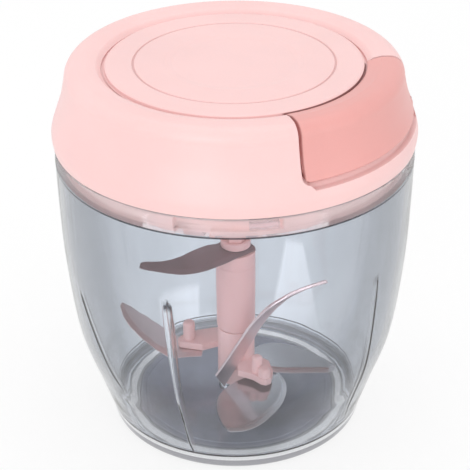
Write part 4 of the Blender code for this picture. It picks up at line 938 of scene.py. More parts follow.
class CHOPPER_OT_foot(bpy.types.Operator):
    """Makes the foot ring, the grey pad and the centre pin"""
    bl_idname = "chopper.foot"
    bl_label = "Foot"

    def execute(self, context):
        colours = context.scene.chopper_colours
        ring = rounded([(37.2, 2.7, 0.2), (37.2, 0.0, 0.6), (38.3, 0.0, 0.3), (38.5, 0.35, 0.15), (39.7, 0.35, 0.15),
                        (39.9, 0.0, 0.3), (41.0, 0.0, 0.6), (41.0, 2.7, 0.2), (40.6, 2.7, 0), (37.6, 2.7, 0)])
        light = silicone("light_silicone", colours.ring, 0.92, glow=0.62)
        new_piece("foot_band", turned("foot_band", ring), light, "bowl", "light_silicone", "foot_ring")
        pad = rounded([(0.0, 0.6, 0), (10.0, 0.6, 0), (10.4, 0.9, 0.2), (11.6, 0.9, 0.2), (12.0, 0.6, 0),
                       (36.2, 0.6, 0.4), (36.9, 1.1, 0.3), (36.9, 2.7, 0.3), (36.4, 2.7, 0), (35.2, 2.7, 0),
                       (34.8, 2.7, 0.15), (34.6, 2.4, 0.1), (34.0, 2.4, 0.1), (33.8, 2.7, 0.15), (33.4, 2.7, 0),
                       (28.0, 2.7, 0), (0.0, 2.7, 0)])
        grey = silicone("dark_silicone", colours.pad, 0.8, ring_lines=0.35)
        new_piece("dark_pad", turned("dark_pad", pad), grey, "bowl", "dark_silicone", "base_pad")
        pin = rounded([(0.0, 4.7, 0), (2.0, 4.7, 0.2), (2.0, 10.2, 0.1), (1.85, 10.4, 0.1), (1.85, 11.0, 0.1),
                       (2.0, 11.2, 0.1), (2.0, 27.7, 0.4), (1.0, 28.7, 0.3), (0.0, 28.7, 0)])
        steel = plain_metal("plain_steel", linear(196, 196, 198))
        new_piece("steel_pin", turned("steel_pin", pin, 48), steel, "bowl", "plain_steel", "centre_pin")
        return {"FINISHED"}


class CHOPPER_OT_lid_shell(bpy.types.Operator):
    """Makes the lid's shell with the rounded pocket for the handle"""
    bl_idname = "chopper.lid_shell"
    bl_label = "Lid shell"

    outer_points = 90
    inner_points = 40
    margin = 0.012
    inset = 0.01

    def outlines(self, settings):
        """The outline away from the pocket and in it, with as many points, and the rows that the pocket bends."""
        below, above = cut_at(lid_wall(settings), POCKET_FLOOR)
        edge = rounded([(61.0, 109.3, 0), (62.1, 109.3, 0.5), tuple(below[1]) + (0,)], closed=False)
        low = np.concatenate([edge[:-1], below[1:]])
        top = rounded([tuple(above[-1]) + (0,), (49.4, LID_TOP, 2.5), (46.5, 136.3, 1.2), (RING_INNER, 135.0, 0.5),
                       (RING_INNER - 0.4, 134.8, 0.2), (RING_INNER - 0.4, LEDGE_TOP, 0)], closed=False)
        plain = resampled(np.concatenate([above, top[1:]]), self.outer_points)
        start = above[0]
        pocket = rounded([(start[0], start[1], 0), (start[0] - 2.2, start[1], 1.0), (start[0] - 3.4, POCKET_SHELF, 1.0),
                          (CAP_RADIUS, POCKET_SHELF, 1.2), (CAP_RADIUS, LEDGE_TOP, 0)], closed=False)
        pocket = resampled(pocket, self.outer_points)
        wall = lid_wall(settings)
        inner = moved_in(np.concatenate([wall, [(30.0, 137.0), (30.0, 109.0)]]), 2.0)[:len(wall)]
        inner = inner[(inner[:, 1] > 115.6) & (inner[:, 1] < 131.5)][::-1]
        under_top = [(LEDGE_INNER, 132.1), (inner[0][0] - 3.0, 132.1)]
        plain_in = resampled(np.concatenate([under_top, inner, [(59.1, 113.1)]]), self.inner_points)
        pocket_in = resampled([(LEDGE_INNER, 132.1), (CAP_RADIUS - 1.5, 131.9), (CAP_RADIUS - 1.5, 114.7),
                               (59.2, 114.7), (59.1, 113.1)], self.inner_points)
        tail = np.array([(60.2, 113.1), (60.2, 111.0), (61.0, 111.0)])
        ledge = np.array([(LEDGE_INNER, LEDGE_TOP)])
        outside = np.concatenate([low, plain, ledge, plain_in, tail])
        inside = np.concatenate([low, pocket, ledge, pocket_in, tail])
        return outside, inside, len(low)

    def execute(self, context):
        settings = context.scene.chopper_lid
        handle = context.scene.chopper_handle
        outside, inside, low = self.outlines(settings)
        corner = settings.corner / MM
        height = np.clip(inside[:, 1] - POCKET_FLOOR, 0, corner)
        shift = (corner - np.sqrt(np.maximum(corner ** 2 - (corner - height) ** 2, 0))) / (settings.belly / MM)
        floor = np.abs(inside[:, 1] - POCKET_FLOOR) < 0.3
        slant = np.clip((inside[:, 0] - inside[low][0] + 2.2) / 2.2, 0, 1) * 1.8
        shift += floor * slant / (settings.belly / MM)
        shift[:low - 1] = 0
        span = handle.end - handle.start
        # Angle past the pocket's end, weight of the pocket's outline, and one where the corner's curve applies
        edges = [(-self.margin, 0.0, 0), (-0.004, 0.0, 0), (-0.001, 0.004, 0), (0.0, 0.03, 1), (0.0015, 1.0, 1),
                 (self.inset, 1.0, 1)]
        rest = np.linspace(0, 1, 30)[1:-1]
        sections = []
        for offset, weight, curved in edges:
            sections.append(self.section(outside, inside, weight, handle.start + offset, shift * curved))
        for place in rest:
            fade = shift * max(0.0, 1 - place / 0.3) - shift * max(0.0, 1 - (1 - place) / 0.3)
            turn = handle.start + self.inset + (span - 2 * self.inset) * place
            sections.append(self.section(outside, inside, 1.0, turn, fade))
        for offset, weight, curved in reversed(edges):
            sections.append(self.section(outside, inside, weight, handle.end - offset, -shift * curved))
        for place in np.linspace(0, 1, 150)[1:-1]:
            turn = handle.end + self.margin + (math.tau - span - 2 * self.margin) * place
            sections.append(self.section(outside, inside, 0.0, turn, shift * 0))
        material = moulded_plastic("pink_plastic", context.scene.chopper_colours.lid)
        new_piece("lid_body", lofted("lid_body", sections), material, "lid", "pink_plastic", "lid_shell")
        return {"FINISHED"}

    @staticmethod
    def section(outside, inside, weight, turn, shift):
        """The outline at an angle, between the two outlines by a weight and with each row turned on by its shift."""
        line = (outside * (1 - weight) + inside * weight) * MM
        turns = turn + shift
        return np.stack([line[:, 0] * np.cos(turns), line[:, 0] * np.sin(turns), line[:, 1]], axis=1)


class CHOPPER_OT_top_cap(bpy.types.Operator):
    """Makes the round cap with its engraved ring and shallow dish"""
    bl_idname = "chopper.top_cap"
    bl_label = "Top cap"

    def execute(self, context):
        outline = rounded([(0.0, CAP_BOTTOM, 0), (44.3, CAP_BOTTOM, 0.1), (CAP_EDGE + 0.15, 134.6, 0.1),
                           (CAP_EDGE, CAP_TOP - 0.3, 0.3), (CAP_EDGE - 0.7, CAP_TOP, 0.5), (34.5, CAP_TOP, 0.15),
                           (34.25, 135.45, 0.1), (33.85, 135.45, 0.1), (33.6, CAP_TOP, 0.15), (23.4, CAP_TOP, 1.2),
                           (21.0, 135.6, 1.2), (0.0, 135.55, 0)])
        material = moulded_plastic("cap_plastic", context.scene.chopper_colours.lid, 0.36)
        mesh = turned("round_cap", outline, 240)
        handle = context.scene.chopper_handle
        marks = []
        for vertex in mesh.vertices:
            radius, level = math.hypot(vertex.co.x, vertex.co.y) / MM, vertex.co.z / MM
            beside = handle.start < math.atan2(vertex.co.y, vertex.co.x) < handle.end
            # Painted shadow: full on the cap's side in the gap beside the handle, lighter painted shade in the engraved
            # ring
            engraved = 33.7 < radius < 34.4 and 135.0 < level < 135.7
            edge = radius > CAP_EDGE - 0.06 and level < CAP_TOP - 0.35 and beside
            marks.append(1.0 if edge else 0.3 if engraved else 0.0)
        store_marks(mesh, "seam", marks)
        new_piece("round_cap", mesh, material, "lid", "pink_plastic", "top_cap")
        return {"FINISHED"}


class CHOPPER_OT_handle(bpy.types.Operator):
    """Makes the pull handle and its backing plate"""
    bl_idname = "chopper.handle"
    bl_label = "Pull handle"

    def execute(self, context):
        settings = context.scene.chopper_handle
        lid = context.scene.chopper_lid
        _, wall = cut_at(lid_wall(lid), HANDLE_BOTTOM)
        base = wall[0][0]
        foot = rounded([(HANDLE_BACK, HANDLE_BOTTOM, 0.6), (base, HANDLE_BOTTOM, 0.9), tuple(wall[3]) + (0,)],
                       closed=False)
        top = rounded([tuple(wall[-1]) + (0,), (49.4, LID_TOP, 2.5), (46.5, 136.2, 1.2), (HANDLE_LIP, 135.5, 0.3),
                       (HANDLE_LIP, 134.9, 0.2), (HANDLE_INNER, 134.7, 0.2), (HANDLE_INNER, RIB_BOTTOM, 0.4),
                       (HANDLE_BACK, RIB_BOTTOM, 0.3), (HANDLE_BACK, 126.0, 0)], closed=False)
        outline = resampled(np.concatenate([foot, wall[4:], top[1:], [foot[0]]]), 161)[:-1]
        edge = settings.edge / MM
        lap = settings.seam / (lid.belly - 5 * MM)
        start, end = settings.start + lap, settings.end - lap
        turn = edge * MM / lid.belly
        corner = 2.8
        sections = []
        offsets = [(turn * (1 - math.cos(a)), edge * (1 - math.sin(a))) for a in np.linspace(0, math.pi / 2, 7)]
        arcs = list(np.linspace(turn * 1.3, corner * MM / lid.belly, 7)) + list(np.linspace(0.06, 0.3, 6))
        profile = offsets + [(a, 0.0) for a in arcs]
        for offset, inset in profile:
            sections.append(self.section(outline, start + offset, offset * lid.belly / MM, inset, corner))
        for place in np.linspace(0.3, (end - start) - 0.3, 24)[1:-1]:
            sections.append(self.section(outline, start + place, math.inf, 0.0, corner))
        for offset, inset in reversed(profile):
            sections.append(self.section(outline, end - offset, offset * lid.belly / MM, inset, corner))
        material = moulded_plastic("coral_plastic", context.scene.chopper_colours.handle, 0.36, 0.08)
        mesh = lofted("handle_grip", sections, ring=False)
        # Painted shadow: the rounded edges at the handle's two ends are darkened as if shaded in the gap to the lid;
        # the end faces are not
        ends = [min(math.atan2(v.co.y, v.co.x) - start, end - math.atan2(v.co.y, v.co.x)) for v in mesh.vertices]
        ends = np.array(ends) * lid.belly / MM
        marks = np.where(ends < 0.012, 0.0, np.clip(1.7 - ends / 0.45, 0, 1))
        store_marks(mesh, "seam", marks)
        new_piece("handle_grip", mesh, material, "handle", "coral_plastic", "pull_handle")
        white = moulded_plastic("white_plastic", linear(236, 235, 230), 0.45)
        back = softened("handle_plate", "handle_back", 0.25 * MM, white)
        place_piece(back, "handle", "white_plastic", "handle_back")
        return {"FINISHED"}

    @staticmethod
    def section(outline, turn, distance, inset, corner):
        """The outline at an angle, drawn in near the ends and lifted where the lower corners round off."""
        line = moved_in(outline, inset) if inset > 0 else outline.copy()
        if distance < corner:
            lift = corner - math.sqrt(corner ** 2 - (corner - distance) ** 2)
            floor = HANDLE_BOTTOM + lift
            top = RIB_BOTTOM - 4
            low = line[:, 1] < top
            line[low, 1] = top - (top - line[low, 1]) * (top - floor) / (top - HANDLE_BOTTOM)
        line = line * MM
        return np.stack([line[:, 0] * math.cos(turn), line[:, 0] * math.sin(turn), line[:, 1]], axis=1)


class CHOPPER_OT_lid_inside(bpy.types.Operator):
    """Dresses the skirt, the seal, the spool, the bush, the axle and the spring cover"""
    bl_idname = "chopper.lid_inside"
    bl_label = "Inside of the lid"

    def execute(self, context):
        # Painted light: a lighter copy of the lid's pink for the skirt, standing in for light that the lid's
        # overhanging edge shades off it
        pink = moulded_plastic("lit_skirt_plastic", linear(255, 219, 215), 0.40)
        plate = softened("skirt_plate", "base_plate", 0.2 * MM, pink)
        place_piece(plate, "lid", "pink_plastic", "base_plate")
        white = moulded_plastic("spool_plastic", linear(236, 235, 230), 0.42)
        steel = plain_metal("axle_steel", linear(190, 190, 192))
        brass = plain_metal("brass", linear(205, 178, 118), 0.28)
        seal = silicone("seal_silicone", linear(226, 224, 216))
        for node, material in (("lid_seal", seal), ("spool", white), ("spring_cover", white), ("spool_axle", steel),
                               ("spool_bush", brass), ("cord_eyelet", brass)):
            dress_node(node, material)
        return {"FINISHED"}


class CHOPPER_OT_screws(bpy.types.Operator):
    """Sets the lid's and the cover's cross-head screws on their circles"""
    bl_idname = "chopper.screws"
    bl_label = "Screws"

    head_height = 1.1 * MM

    @staticmethod
    def screw_mesh(name, head):
        """One pan-head screw, its head's inner face at zero and its shank going up."""
        outline = rounded([(0.0, -0.55, 0), (0.6, -0.62, 0.1), (0.75, -1.02, 0.1), (head * 0.8, -1.0, 0.5),
                           (head, -0.2, 0.3), (head, 0.0, 0.1), (1.1, 0.0, 0.1), (1.1, 6.0, 0.1), (0.3, 7.0, 0.1),
                           (0.0, 7.0, 0)], steps=3)
        return turned(name, outline, 24)

    def execute(self, context):
        head = context.scene.chopper_cord.screw_head / MM
        steel = plain_metal("screw_steel", linear(188, 188, 190), 0.26)
        # Name, count, radius of the circle, first and step angle, head up or down, and the solids' name
        groups = (("lid_screws", 4, 53.0, 25.0, 70.0, False, "lid_screw"),
                  ("cover_screws", 3, 29.0, 25.0, 120.0, True, "cover_screw"))
        for name, count, circle, first, step, head_up, node in groups:
            nodes = [f"{node}_{index + 1}" for index in range(count)]
            low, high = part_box(nodes[0])
            place = high.z - self.head_height if head_up else low.z + self.head_height
            rule = Rule(name)
            tree = rule.tree
            number = rule.input("Count", count, "NodeSocketInt")
            radius = rule.input("Circle", circle * MM)
            start = rule.input("First angle", math.radians(first))
            spread = rule.input("Step angle", math.radians(step))
            level = rule.input("Height", place)
            index = tree.node("GeometryNodeInputIndex")
            turn = start + index * spread
            point = tree.vector(turn.cosine() * radius, turn.sine() * radius, level)
            points = tree.node("GeometryNodePoints", None, {"Count": number, "Position": point})
            flip = (math.pi if head_up else 0.0, 0.0, 0.0)
            placed = tree.node("GeometryNodeInstanceOnPoints", None,
                               {"Points": points, "Instance": rule.geometry(), "Rotation": flip})
            rule.close(placed, steel)
            made = rule.run(name, self.screw_mesh(name + "_one", head), steel, Count=count, Circle=circle * MM,
                            First_angle=math.radians(first), Step_angle=math.radians(step), Height=place)
            place_piece(made, "lid", "plain_steel", *nodes)
        return {"FINISHED"}


class CHOPPER_OT_spring(bpy.types.Operator):
    """Winds the flat recoil spring between the spool's arbor and the cup"""
    bl_idname = "chopper.spring"
    bl_label = "Recoil spring"

    first = 5.15 * MM
    pitch = 1.55 * MM
    steps_per_turn = 48

    def execute(self, context):
        settings = context.scene.chopper_cord
        low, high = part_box("recoil_spring")
        rule = Rule("Recoil spring")
        tree = rule.tree
        turns = rule.input("Turns", 8.0)
        start = rule.input("Start radius", self.first)
        step = rule.input("Pitch", self.pitch)
        thick = rule.input("Thickness", 0.0005)
        width = rule.input("Width", 0.0032)
        level = rule.input("Height", 0.13)
        steps = settings.spring_turns * self.steps_per_turn
        line = tree.node("GeometryNodeMeshLine", {"mode": "OFFSET"}, {"Count": steps + 1})
        index = tree.node("GeometryNodeInputIndex")
        along = index * turns / float(steps)
        radius = start + along * step
        angle_now = along * math.tau
        point = tree.vector(angle_now.cosine() * radius, angle_now.sine() * radius, level)
        placed = tree.node("GeometryNodeSetPosition", None, {"Geometry": line, "Position": point})
        path = tree.node("GeometryNodeMeshToCurve", None, {"Mesh": placed})
        upright = tree.node("GeometryNodeSetCurveNormal", {"mode": "Z_UP"}, {"Curve": path})
        strip = tree.node("GeometryNodeCurvePrimitiveQuadrilateral", None, {"Width": thick, "Height": width})
        solid = tree.node("GeometryNodeCurveToMesh", None,
                          {"Curve": upright, "Profile Curve": strip, "Fill Caps": True})
        steel = plain_metal("spring_steel", linear(176, 182, 190), 0.24, 1400.0)
        rule.close(solid, steel)
        made = rule.run("spiral_spring", bpy.data.meshes.new("spring_base"), steel,
                        Turns=float(settings.spring_turns), Start_radius=self.first, Pitch=self.pitch,
                        Thickness=settings.spring_thickness, Width=settings.spring_width,
                        Height=(low.z + high.z) / 2)
        place_piece(made, "lid", "plain_steel", "recoil_spring")
        return {"FINISHED"}


class CHOPPER_OT_cord(bpy.types.Operator):
    """Winds the braided cord on the spool and leads it through the eyelet to its knot"""
    bl_idname = "chopper.cord"
    bl_label = "Pull cord"

    coil_radius = 19.75
    coil_pitch = 2.4
    coil_loops = 3
    steps_per_loop = 48
    eyelet_place = CAP_RADIUS - 0.75
    bend = 10.0
    blend_start = 43.7 * MM
    blend_end = 46.1 * MM

    def route(self, level, middle):
        """The winding, the taut run to the eyelet and the straight end at the handle, in metres."""
        pull = np.array([math.cos(middle), math.sin(middle)])
        leave = middle + math.asin(self.coil_radius / self.eyelet_place) - math.pi / 2
        steps = self.coil_loops * self.steps_per_loop
        points = []
        for index in range(steps + 1):
            loops_left = (steps - index) / self.steps_per_loop
            turn = leave - math.tau * loops_left
            height = level - self.coil_pitch * loops_left
            points.append((self.coil_radius * math.cos(turn), self.coil_radius * math.sin(turn), height))
        start = np.array(points[-1][:2])
        corner = pull * (self.eyelet_place - self.bend / 2)
        along = corner - start
        before = start + along * (1 - self.bend / (2 * np.linalg.norm(along)))
        after = corner + pull * self.bend / 2
        for index in range(1, 11):
            points.append((*(start + (before - start) * index / 10), level))
        for index in range(1, 11):
            t = index / 10
            points.append((*(before * (1 - t) ** 2 + corner * 2 * t * (1 - t) + after * t ** 2), level))
        end = pull * HANDLE_BACK
        for index in range(1, 9):
            points.append((*(after + (end - after) * index / 8), level))
        return np.array(points) * MM

    def execute(self, context):
        settings = context.scene.chopper_cord
        handle = context.scene.chopper_handle
        middle = (handle.start + handle.end) / 2
        level = (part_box("pull_cord")[1].z - settings.radius) / MM
        points = self.route(level, middle)
        mesh = bpy.data.meshes.new("cord_route")
        mesh.from_pydata([tuple(p) for p in points], [(i, i + 1) for i in range(len(points) - 1)], [])
        rule = Rule("Braided cord")
        tree = rule.tree
        radius = rule.input("Radius", 0.00095)
        strands = rule.input("Strands", 8.0)
        path = tree.node("GeometryNodeMeshToCurve", None, {"Mesh": rule.geometry()})
        run = tree.node("GeometryNodeSplineParameter", output="Length")
        kept = tree.store(path, "cord_run", run / (radius * 2.6))
        circle = tree.node("GeometryNodeCurvePrimitiveCircle", None, {"Resolution": 16, "Radius": radius})
        turn = tree.node("GeometryNodeSplineParameter", output="Factor")
        ringed = tree.store(circle, "cord_turn", turn * strands)
        solid = tree.node("GeometryNodeCurveToMesh", None,
                          {"Curve": kept, "Profile Curve": ringed, "Fill Caps": True})
        place = tree.vector(tree.stored("cord_turn"), tree.stored("cord_run"))
        mapped = tree.store(solid, "cord_map", place, "FLOAT2", "CORNER")
        smooth = tree.node("GeometryNodeSetShadeSmooth", None, {0: mapped, "Shade Smooth": True})
        material = braided_cord("braided_cord", context.scene.chopper_colours.cord)
        rule.close(smooth, material)
        made = rule.run("braid", mesh, material, Radius=settings.radius, Strands=float(settings.strands))
        pull = Vector((math.cos(middle), math.sin(middle), 0))
        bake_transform(made)
        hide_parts("pull_cord")
        self.tie_knot(pull, level * MM, material)
        return {"FINISHED"}

    @staticmethod
    def tie_knot(pull, level, material):
        """A doubled overhand knot: a cord that winds round a small ring."""
        low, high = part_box("cord_knot")
        centre = (low + high) / 2
        turns = np.linspace(0, math.tau, 97)[:-1]
        along = np.array([pull.x, pull.y, 0])
        side = np.array([-pull.y, pull.x, 0])
        ring, swing, thick = 1.05 * MM, 0.55 * MM, 0.85 * MM
        points = []
        for turn in turns:
            reach = ring + swing * math.cos(3 * turn)
            points.append(np.array(centre) + side * reach * math.cos(2 * turn)
                          + np.array([0, 0, 1]) * reach * math.sin(2 * turn)
                          + along * swing * math.sin(3 * turn) * 1.6)
        points = np.array(points)
        sections = []
        for index in range(len(points)):
            ahead = points[(index + 1) % len(points)] - points[index - 1]
            ahead /= np.linalg.norm(ahead)
            out = points[index] - np.array(centre)
            out -= ahead * (out @ ahead)
            out /= np.linalg.norm(out)
            up = np.cross(ahead, out)
            sections.append(np.array([points[index] + thick * (out * math.cos(a) + up * math.sin(a))
                                      for a in np.linspace(0, math.tau, 11)[:-1]]))
        mesh = lofted("stopper_knot", sections)
        uv = mesh.uv_layers.new(name="cord_map")
        corners = [mesh.vertices[loop.vertex_index].co for loop in mesh.loops]
        uv.data.foreach_set("uv", np.array([(corner.x * 900, corner.z * 900) for corner in corners]).ravel())
        new_piece("stopper_knot", mesh, material, "handle", "cord", "cord_knot")


class CHOPPER_OT_shaft(bpy.types.Operator):
    """Makes the drive socket, the shaft sleeve with its collar and the blade hub with its arms"""
    bl_idname = "chopper.shaft"
    bl_label = "Shaft"

    @staticmethod
    def hex_stem(bottom, top, reach=4.2):
        outline = [(reach * math.cos(math.radians(60 * k)), reach * math.sin(math.radians(60 * k))) for k in range(6)]
        rows = []
        for height, size in ((bottom, 1.0), (top - 0.6, 1.0), (top, 0.9)):
            rows.append(np.array([(x * size, y * size, height) for x, y in outline]) * MM)
        return lofted("stem", rows, ring=False)

    def execute(self, context):
        pink = moulded_plastic("shaft_plastic", context.scene.chopper_colours.shaft, 0.42, 0.12)
        low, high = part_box("shaft_sleeve")
        foot = low.z / MM
        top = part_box("upper_blade")[0].z / MM - 0.3
        groove = 58.4
        sleeve = rounded([(0.0, foot, 0), (6.85, foot, 0.2), (7.1, foot + 0.35, 0.2), (7.1, groove - 0.2, 0),
                          (6.97, groove - 0.05, 0), (6.97, groove + 0.15, 0), (7.1, groove + 0.3, 0),
                          (7.1, top, 0.6), (0.0, top, 0)])
        mesh = turned("sleeve", sleeve, 96)
        stem = self.hex_stem(top - 1.0, high.z / MM)
        new_piece("grip_sleeve", self.joined(mesh, stem), pink, "rotor", "shaft_plastic", "shaft_sleeve")
        # Painted light: a lighter copy of the shaft's pink for the hub and its arms, standing in for light that the lid
        # shades off them
        light = moulded_plastic("lit_arm_plastic", linear(255, 210, 206), 0.42, 0.12)
        for name, node, width, material in (("stem_collar", "shaft_collar", 0.35, pink),
                                            ("hub_with_arms", "blade_hub", 0.4, light),
                                            ("drive_cup", "drive_socket", 0.35, pink)):
            made = softened(name, node, width * MM, material)
            place_piece(made, "rotor", "shaft_plastic", node)
        return {"FINISHED"}

    @staticmethod
    def joined(first, second):
        with edited(first) as bm:
            bm.from_mesh(second)
        bpy.data.meshes.remove(second)
        return smooth_shaded(first)


class CHOPPER_OT_blades(bpy.types.Operator):
    """Grinds the five blades with smooth outlines"""
    bl_idname = "chopper.blades"
    bl_label = "Blades"

    @staticmethod
    def blade(name, stations, settings, material):
        """A plate through stations of (edge, back) points in millimetres, ground on its upper side."""
        thick = settings.thickness / MM
        bevel = settings.bevel / MM
        thin = settings.edge / MM
        both = curve_through([np.concatenate(station) for station in stations], 10)
        edges, backs = both[:, :3], both[:, 3:]
        along = np.gradient(edges + backs, axis=0)
        sections = []
        for edge, back, run in zip(edges, backs, along):
            across = back - edge
            width = np.linalg.norm(across)
            up = np.cross(run, across)
            up /= np.linalg.norm(up)
            up = up if up[2] > 0 else -up
            step = across / width
            chamfer = min(0.25, width * 0.2)
            shoulder = edge + across * min(bevel / width, 0.55)
            sections.append(np.array([edge, back - step * chamfer, back + up * chamfer,
                                      back + up * (thick - chamfer), back - step * chamfer + up * thick,
                                      shoulder + step * 0.15 + up * thick,
                                      shoulder - step * 0.15 + up * (thick - 0.07), edge + up * thin]) * MM)
        mesh = lofted(name, sections, ring=False)
        lip = [Vector(section[7]) for section in sections] + [Vector(section[0]) for section in sections]
        near = [min((vertex.co - point).length for point in lip) for vertex in mesh.vertices]
        marks = np.clip(1.15 - np.array(near) / (bevel * MM), 0, 1) ** 0.5
        store_marks(mesh, "ground", marks)
        return mesh_object(name, mesh, material)

    def execute(self, context):
        settings = context.scene.chopper_blades
        colours = context.scene.chopper_colours
        dark = coated_steel("dark_blade", colours.dark_blade)
        steel = polished_steel("blade_steel", colours.steel, 0.68)
        bright = polished_steel("bright_steel", linear(246, 226, 226), 0.9, 0.3)
        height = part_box("upper_blade")[0].z / MM
        front_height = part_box("front_blade")[0].z / MM
        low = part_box("right_blade")[0].z / MM
        upper = [(7.2, -1.8, 6.7, -0.6), (5.7, -2.8, 5.3, 1.8), (3.3, -5.0, 3.5, 5.0), (0.0, -7.8, 0.0, 6.2),
                 (-3.9, -11.2, -3.8, 5.0), (-8.6, -14.8, -6.6, 1.4), (-13.0, -17.0, -10.2, 0.3),
                 (-18.0, -18.2, -15.5, -3.8), (-23.0, -17.6, -20.0, -8.1), (-28.0, -16.0, -26.0, -10.9),
                 (-31.8, -14.7, -31.4, -10.8), (-33.6, -13.6, -33.2, -11.5)]
        front = [(15.4, -6.4, 9.6, -4.4), (17.6, -11.2, 7.6, -7.8), (18.2, -16.4, 3.8, -10.6),
                 (17.6, -22.4, -0.4, -13.8), (15.2, -28.6, -4.0, -17.8), (11.0, -34.4, -6.4, -22.8),
                 (6.6, -38.8, -7.2, -28.0), (2.0, -41.6, -6.4, -33.6), (-2.4, -42.0, -4.8, -38.4)]
        right = [(4.3, -2.4, 4.3, 3.4), (8.8, -4.8, 8.0, 7.6), (13.0, -8.0, 11.6, 9.6), (18.0, -9.0, 16.6, 9.8),
                 (24.0, -9.1, 22.4, 7.4), (30.0, -9.2, 28.6, 3.0), (34.6, -9.0, 33.6, -2.0), (36.6, -6.8, 36.2, -5.2)]
        # The left blade's edge, back and height above the right blade
        left = [(-13.0, 2.6, -11.4, 13.8, 0.0), (-19.0, 1.8, -17.6, 15.0, 0.0), (-24.5, 2.0, -23.0, 16.0, -0.4),
                (-28.5, 2.8, -27.0, 16.8, 1.8), (-33.0, 3.6, -31.6, 17.2, 5.0), (-38.6, 6.4, -37.4, 17.6, 9.0),
                (-42.6, 11.2, -41.8, 17.8, 12.0), (-44.6, 15.6, -44.2, 17.4, 13.6)]
        left = [((ex, ey, low + up), (bx, by, low + up)) for ex, ey, bx, by, up in left]
        rising = [((-4.6, -9.6, 10.4), (-7.4, -11.4, 16.6)), ((0.6, -9.2, 20.0), (-2.6, -11.2, 24.6)),
                  ((5.6, -9.0, 29.6), (1.6, -11.2, 31.8)), ((10.2, -9.0, 38.0), (6.0, -11.2, 38.8)),
                  ((16.4, -9.0, 46.0), (12.8, -11.2, 46.2)), ((24.0, -9.4, 51.6), (22.6, -11.0, 52.2)),
                  ((32.6, -10.2, 55.4), (32.2, -10.9, 55.8))]

        def level(points, at):
            return [((ex, ey, at), (bx, by, at)) for ex, ey, bx, by in points]

        plans = (("dark_top_blade", level(upper, height), dark, "dark_blade", "upper_blade"),
                 ("front_cutter", level(front, front_height), steel, "blade_steel", "front_blade"),
                 ("right_cutter", level(right, low), steel, "blade_steel", "right_blade"),
                 ("left_cutter", left, bright, "blade_steel", "left_blade"),
                 ("rising_cutter", rising, bright, "blade_steel", "rising_blade"))
        for name, stations, material, slot, node in plans:
            made = self.blade(name, stations, settings, material)
            place_piece(made, "rotor", slot, node)
        return {"FINISHED"}


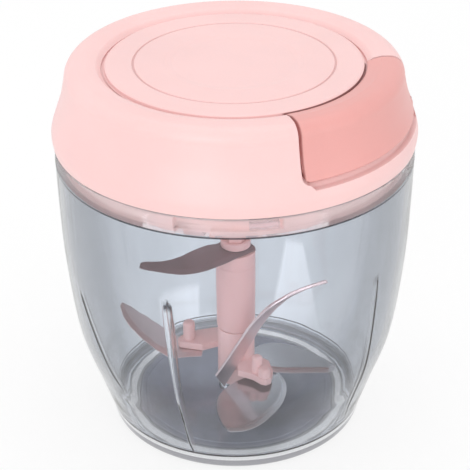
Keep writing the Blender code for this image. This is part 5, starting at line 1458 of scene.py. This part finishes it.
class CHOPPER_OT_stage(bpy.types.Operator):
    """Lays the pale floor, hangs the soft lamps and sets the camera"""
    bl_idname = "chopper.stage"
    bl_label = "Stage"

    def execute(self, context):
        settings = context.scene.chopper_stage
        self.lay_floor()
        self.hang_lamps(settings)
        self.light_world(context, settings)
        self.set_camera(context, settings)
        context.scene.view_settings.view_transform = "Standard"
        return {"FINISHED"}

    @staticmethod
    def lay_floor():
        material, tree = new_material("pale_floor")
        speck = tree.noise(tree.place(), 300.0, 2.0)
        base = tree.mix(speck, (0.93, 0.93, 0.93), (0.96, 0.96, 0.96))
        matt = principled(tree, Base_Color=base, Roughness=0.9, Specular_IOR_Level=0.0)
        white = tree.node("ShaderNodeEmission", None, {"Color": (1.0, 1.0, 1.0, 1.0), "Strength": 1.0})
        direct = seen_direct(tree) * 0.78
        close_material(tree, tree.node("ShaderNodeMixShader", None, {0: direct, 1: matt, 2: white}))
        steps, reach, level = 96, 4.0, -0.0002
        points = [(reach * math.cos(math.tau * k / steps), reach * math.sin(math.tau * k / steps), level)
                  for k in range(steps)]
        mesh = bpy.data.meshes.new("pale_floor")
        mesh.from_pydata(points, [], [tuple(range(steps))])
        mesh_object("pale_floor", mesh, material)

    @staticmethod
    def hang_lamps(settings):
        lamps = (("key_lamp", (-0.42, -1.10, 0.55), 0.7, settings.key),
                 ("fill_lamp", (0.9, -0.6, 0.32), 0.7, settings.fill),
                 ("top_lamp", (0.0, 0.15, 1.2), 1.0, settings.top))
        for name, place, size, watts in lamps:
            lamp = bpy.data.lights.new(name, "AREA")
            lamp.shape = "SQUARE"
            lamp.size = size
            lamp.energy = watts
            made = bpy.data.objects.new(name, lamp)
            made.location = place
            made.rotation_euler = (Vector((0, 0, 0.06)) - Vector(place)).to_track_quat("-Z", "Y").to_euler()
            bpy.context.scene.collection.objects.link(made)

    @staticmethod
    def light_world(context, settings):
        world = bpy.data.worlds.new("soft_surround")
        context.scene.world = world
        world.use_nodes = True
        world.node_tree.nodes.clear()
        tree = Tree(world.node_tree)
        direct = seen_direct(tree)
        level = settings.daylight + direct * (1.0 - settings.daylight)
        light = tree.node("ShaderNodeBackground", None, {"Color": (1.0, 1.0, 1.0, 1.0), "Strength": level})
        tree.node("ShaderNodeOutputWorld", None, {"Surface": light})

    @staticmethod
    def set_camera(context, settings):
        data = bpy.data.cameras.new("photo_camera")
        data.lens = settings.lens
        data.sensor_width = 36.0
        data.shift_x = -0.0008
        made = bpy.data.objects.new("photo_camera", data)
        pitch = settings.pitch
        away, up = settings.distance * math.cos(pitch), settings.distance * math.sin(pitch)
        made.location = (0.0, -away, settings.aim + up)
        turn = Matrix.Rotation(math.pi / 2 - pitch, 3, "X") @ Matrix.Rotation(settings.roll, 3, "Z")
        made.rotation_euler = turn.to_euler()
        context.scene.collection.objects.link(made)
        context.scene.camera = made


class CHOPPER_PT_panel(bpy.types.Panel):
    """Lists the chopper's settings and the steps that build it"""
    bl_idname = "CHOPPER_PT_panel"
    bl_label = "Garlic chopper"
    bl_space_type = "VIEW_3D"
    bl_region_type = "UI"
    bl_category = "Chopper"

    def draw(self, context):
        for operator in OPERATORS:
            self.layout.operator(operator.bl_idname)
        for name in SETTINGS:
            group = getattr(context.scene, name)
            box = self.layout.box()
            for key in group.__annotations__:
                box.prop(group, key)


SETTINGS = {
    "chopper_colours": ChopperColours,
    "chopper_bowl": BowlSettings,
    "chopper_lid": LidSettings,
    "chopper_handle": HandleSettings,
    "chopper_blades": BladeSettings,
    "chopper_cord": CordSettings,
    "chopper_stage": StageSettings,
}
OPERATORS = (CHOPPER_OT_stage, CHOPPER_OT_bowl, CHOPPER_OT_foot, CHOPPER_OT_lid_shell, CHOPPER_OT_top_cap,
             CHOPPER_OT_handle, CHOPPER_OT_lid_inside, CHOPPER_OT_screws, CHOPPER_OT_spring, CHOPPER_OT_cord,
             CHOPPER_OT_shaft, CHOPPER_OT_blades)


def register():
    for group in SETTINGS.values():
        bpy.utils.register_class(group)
    for name, group in SETTINGS.items():
        setattr(bpy.types.Scene, name, PointerProperty(type=group))
    for operator in OPERATORS:
        bpy.utils.register_class(operator)
    bpy.utils.register_class(CHOPPER_PT_panel)


def unregister():
    bpy.utils.unregister_class(CHOPPER_PT_panel)
    for operator in reversed(OPERATORS):
        bpy.utils.unregister_class(operator)
    for name in SETTINGS:
        delattr(bpy.types.Scene, name)
    for group in reversed(list(SETTINGS.values())):
        bpy.utils.unregister_class(group)


def main():
    register()
    for operator in OPERATORS:
        family, name = operator.bl_idname.split(".")
        getattr(getattr(bpy.ops, family), name)()


if __name__ == "__main__":
    main()
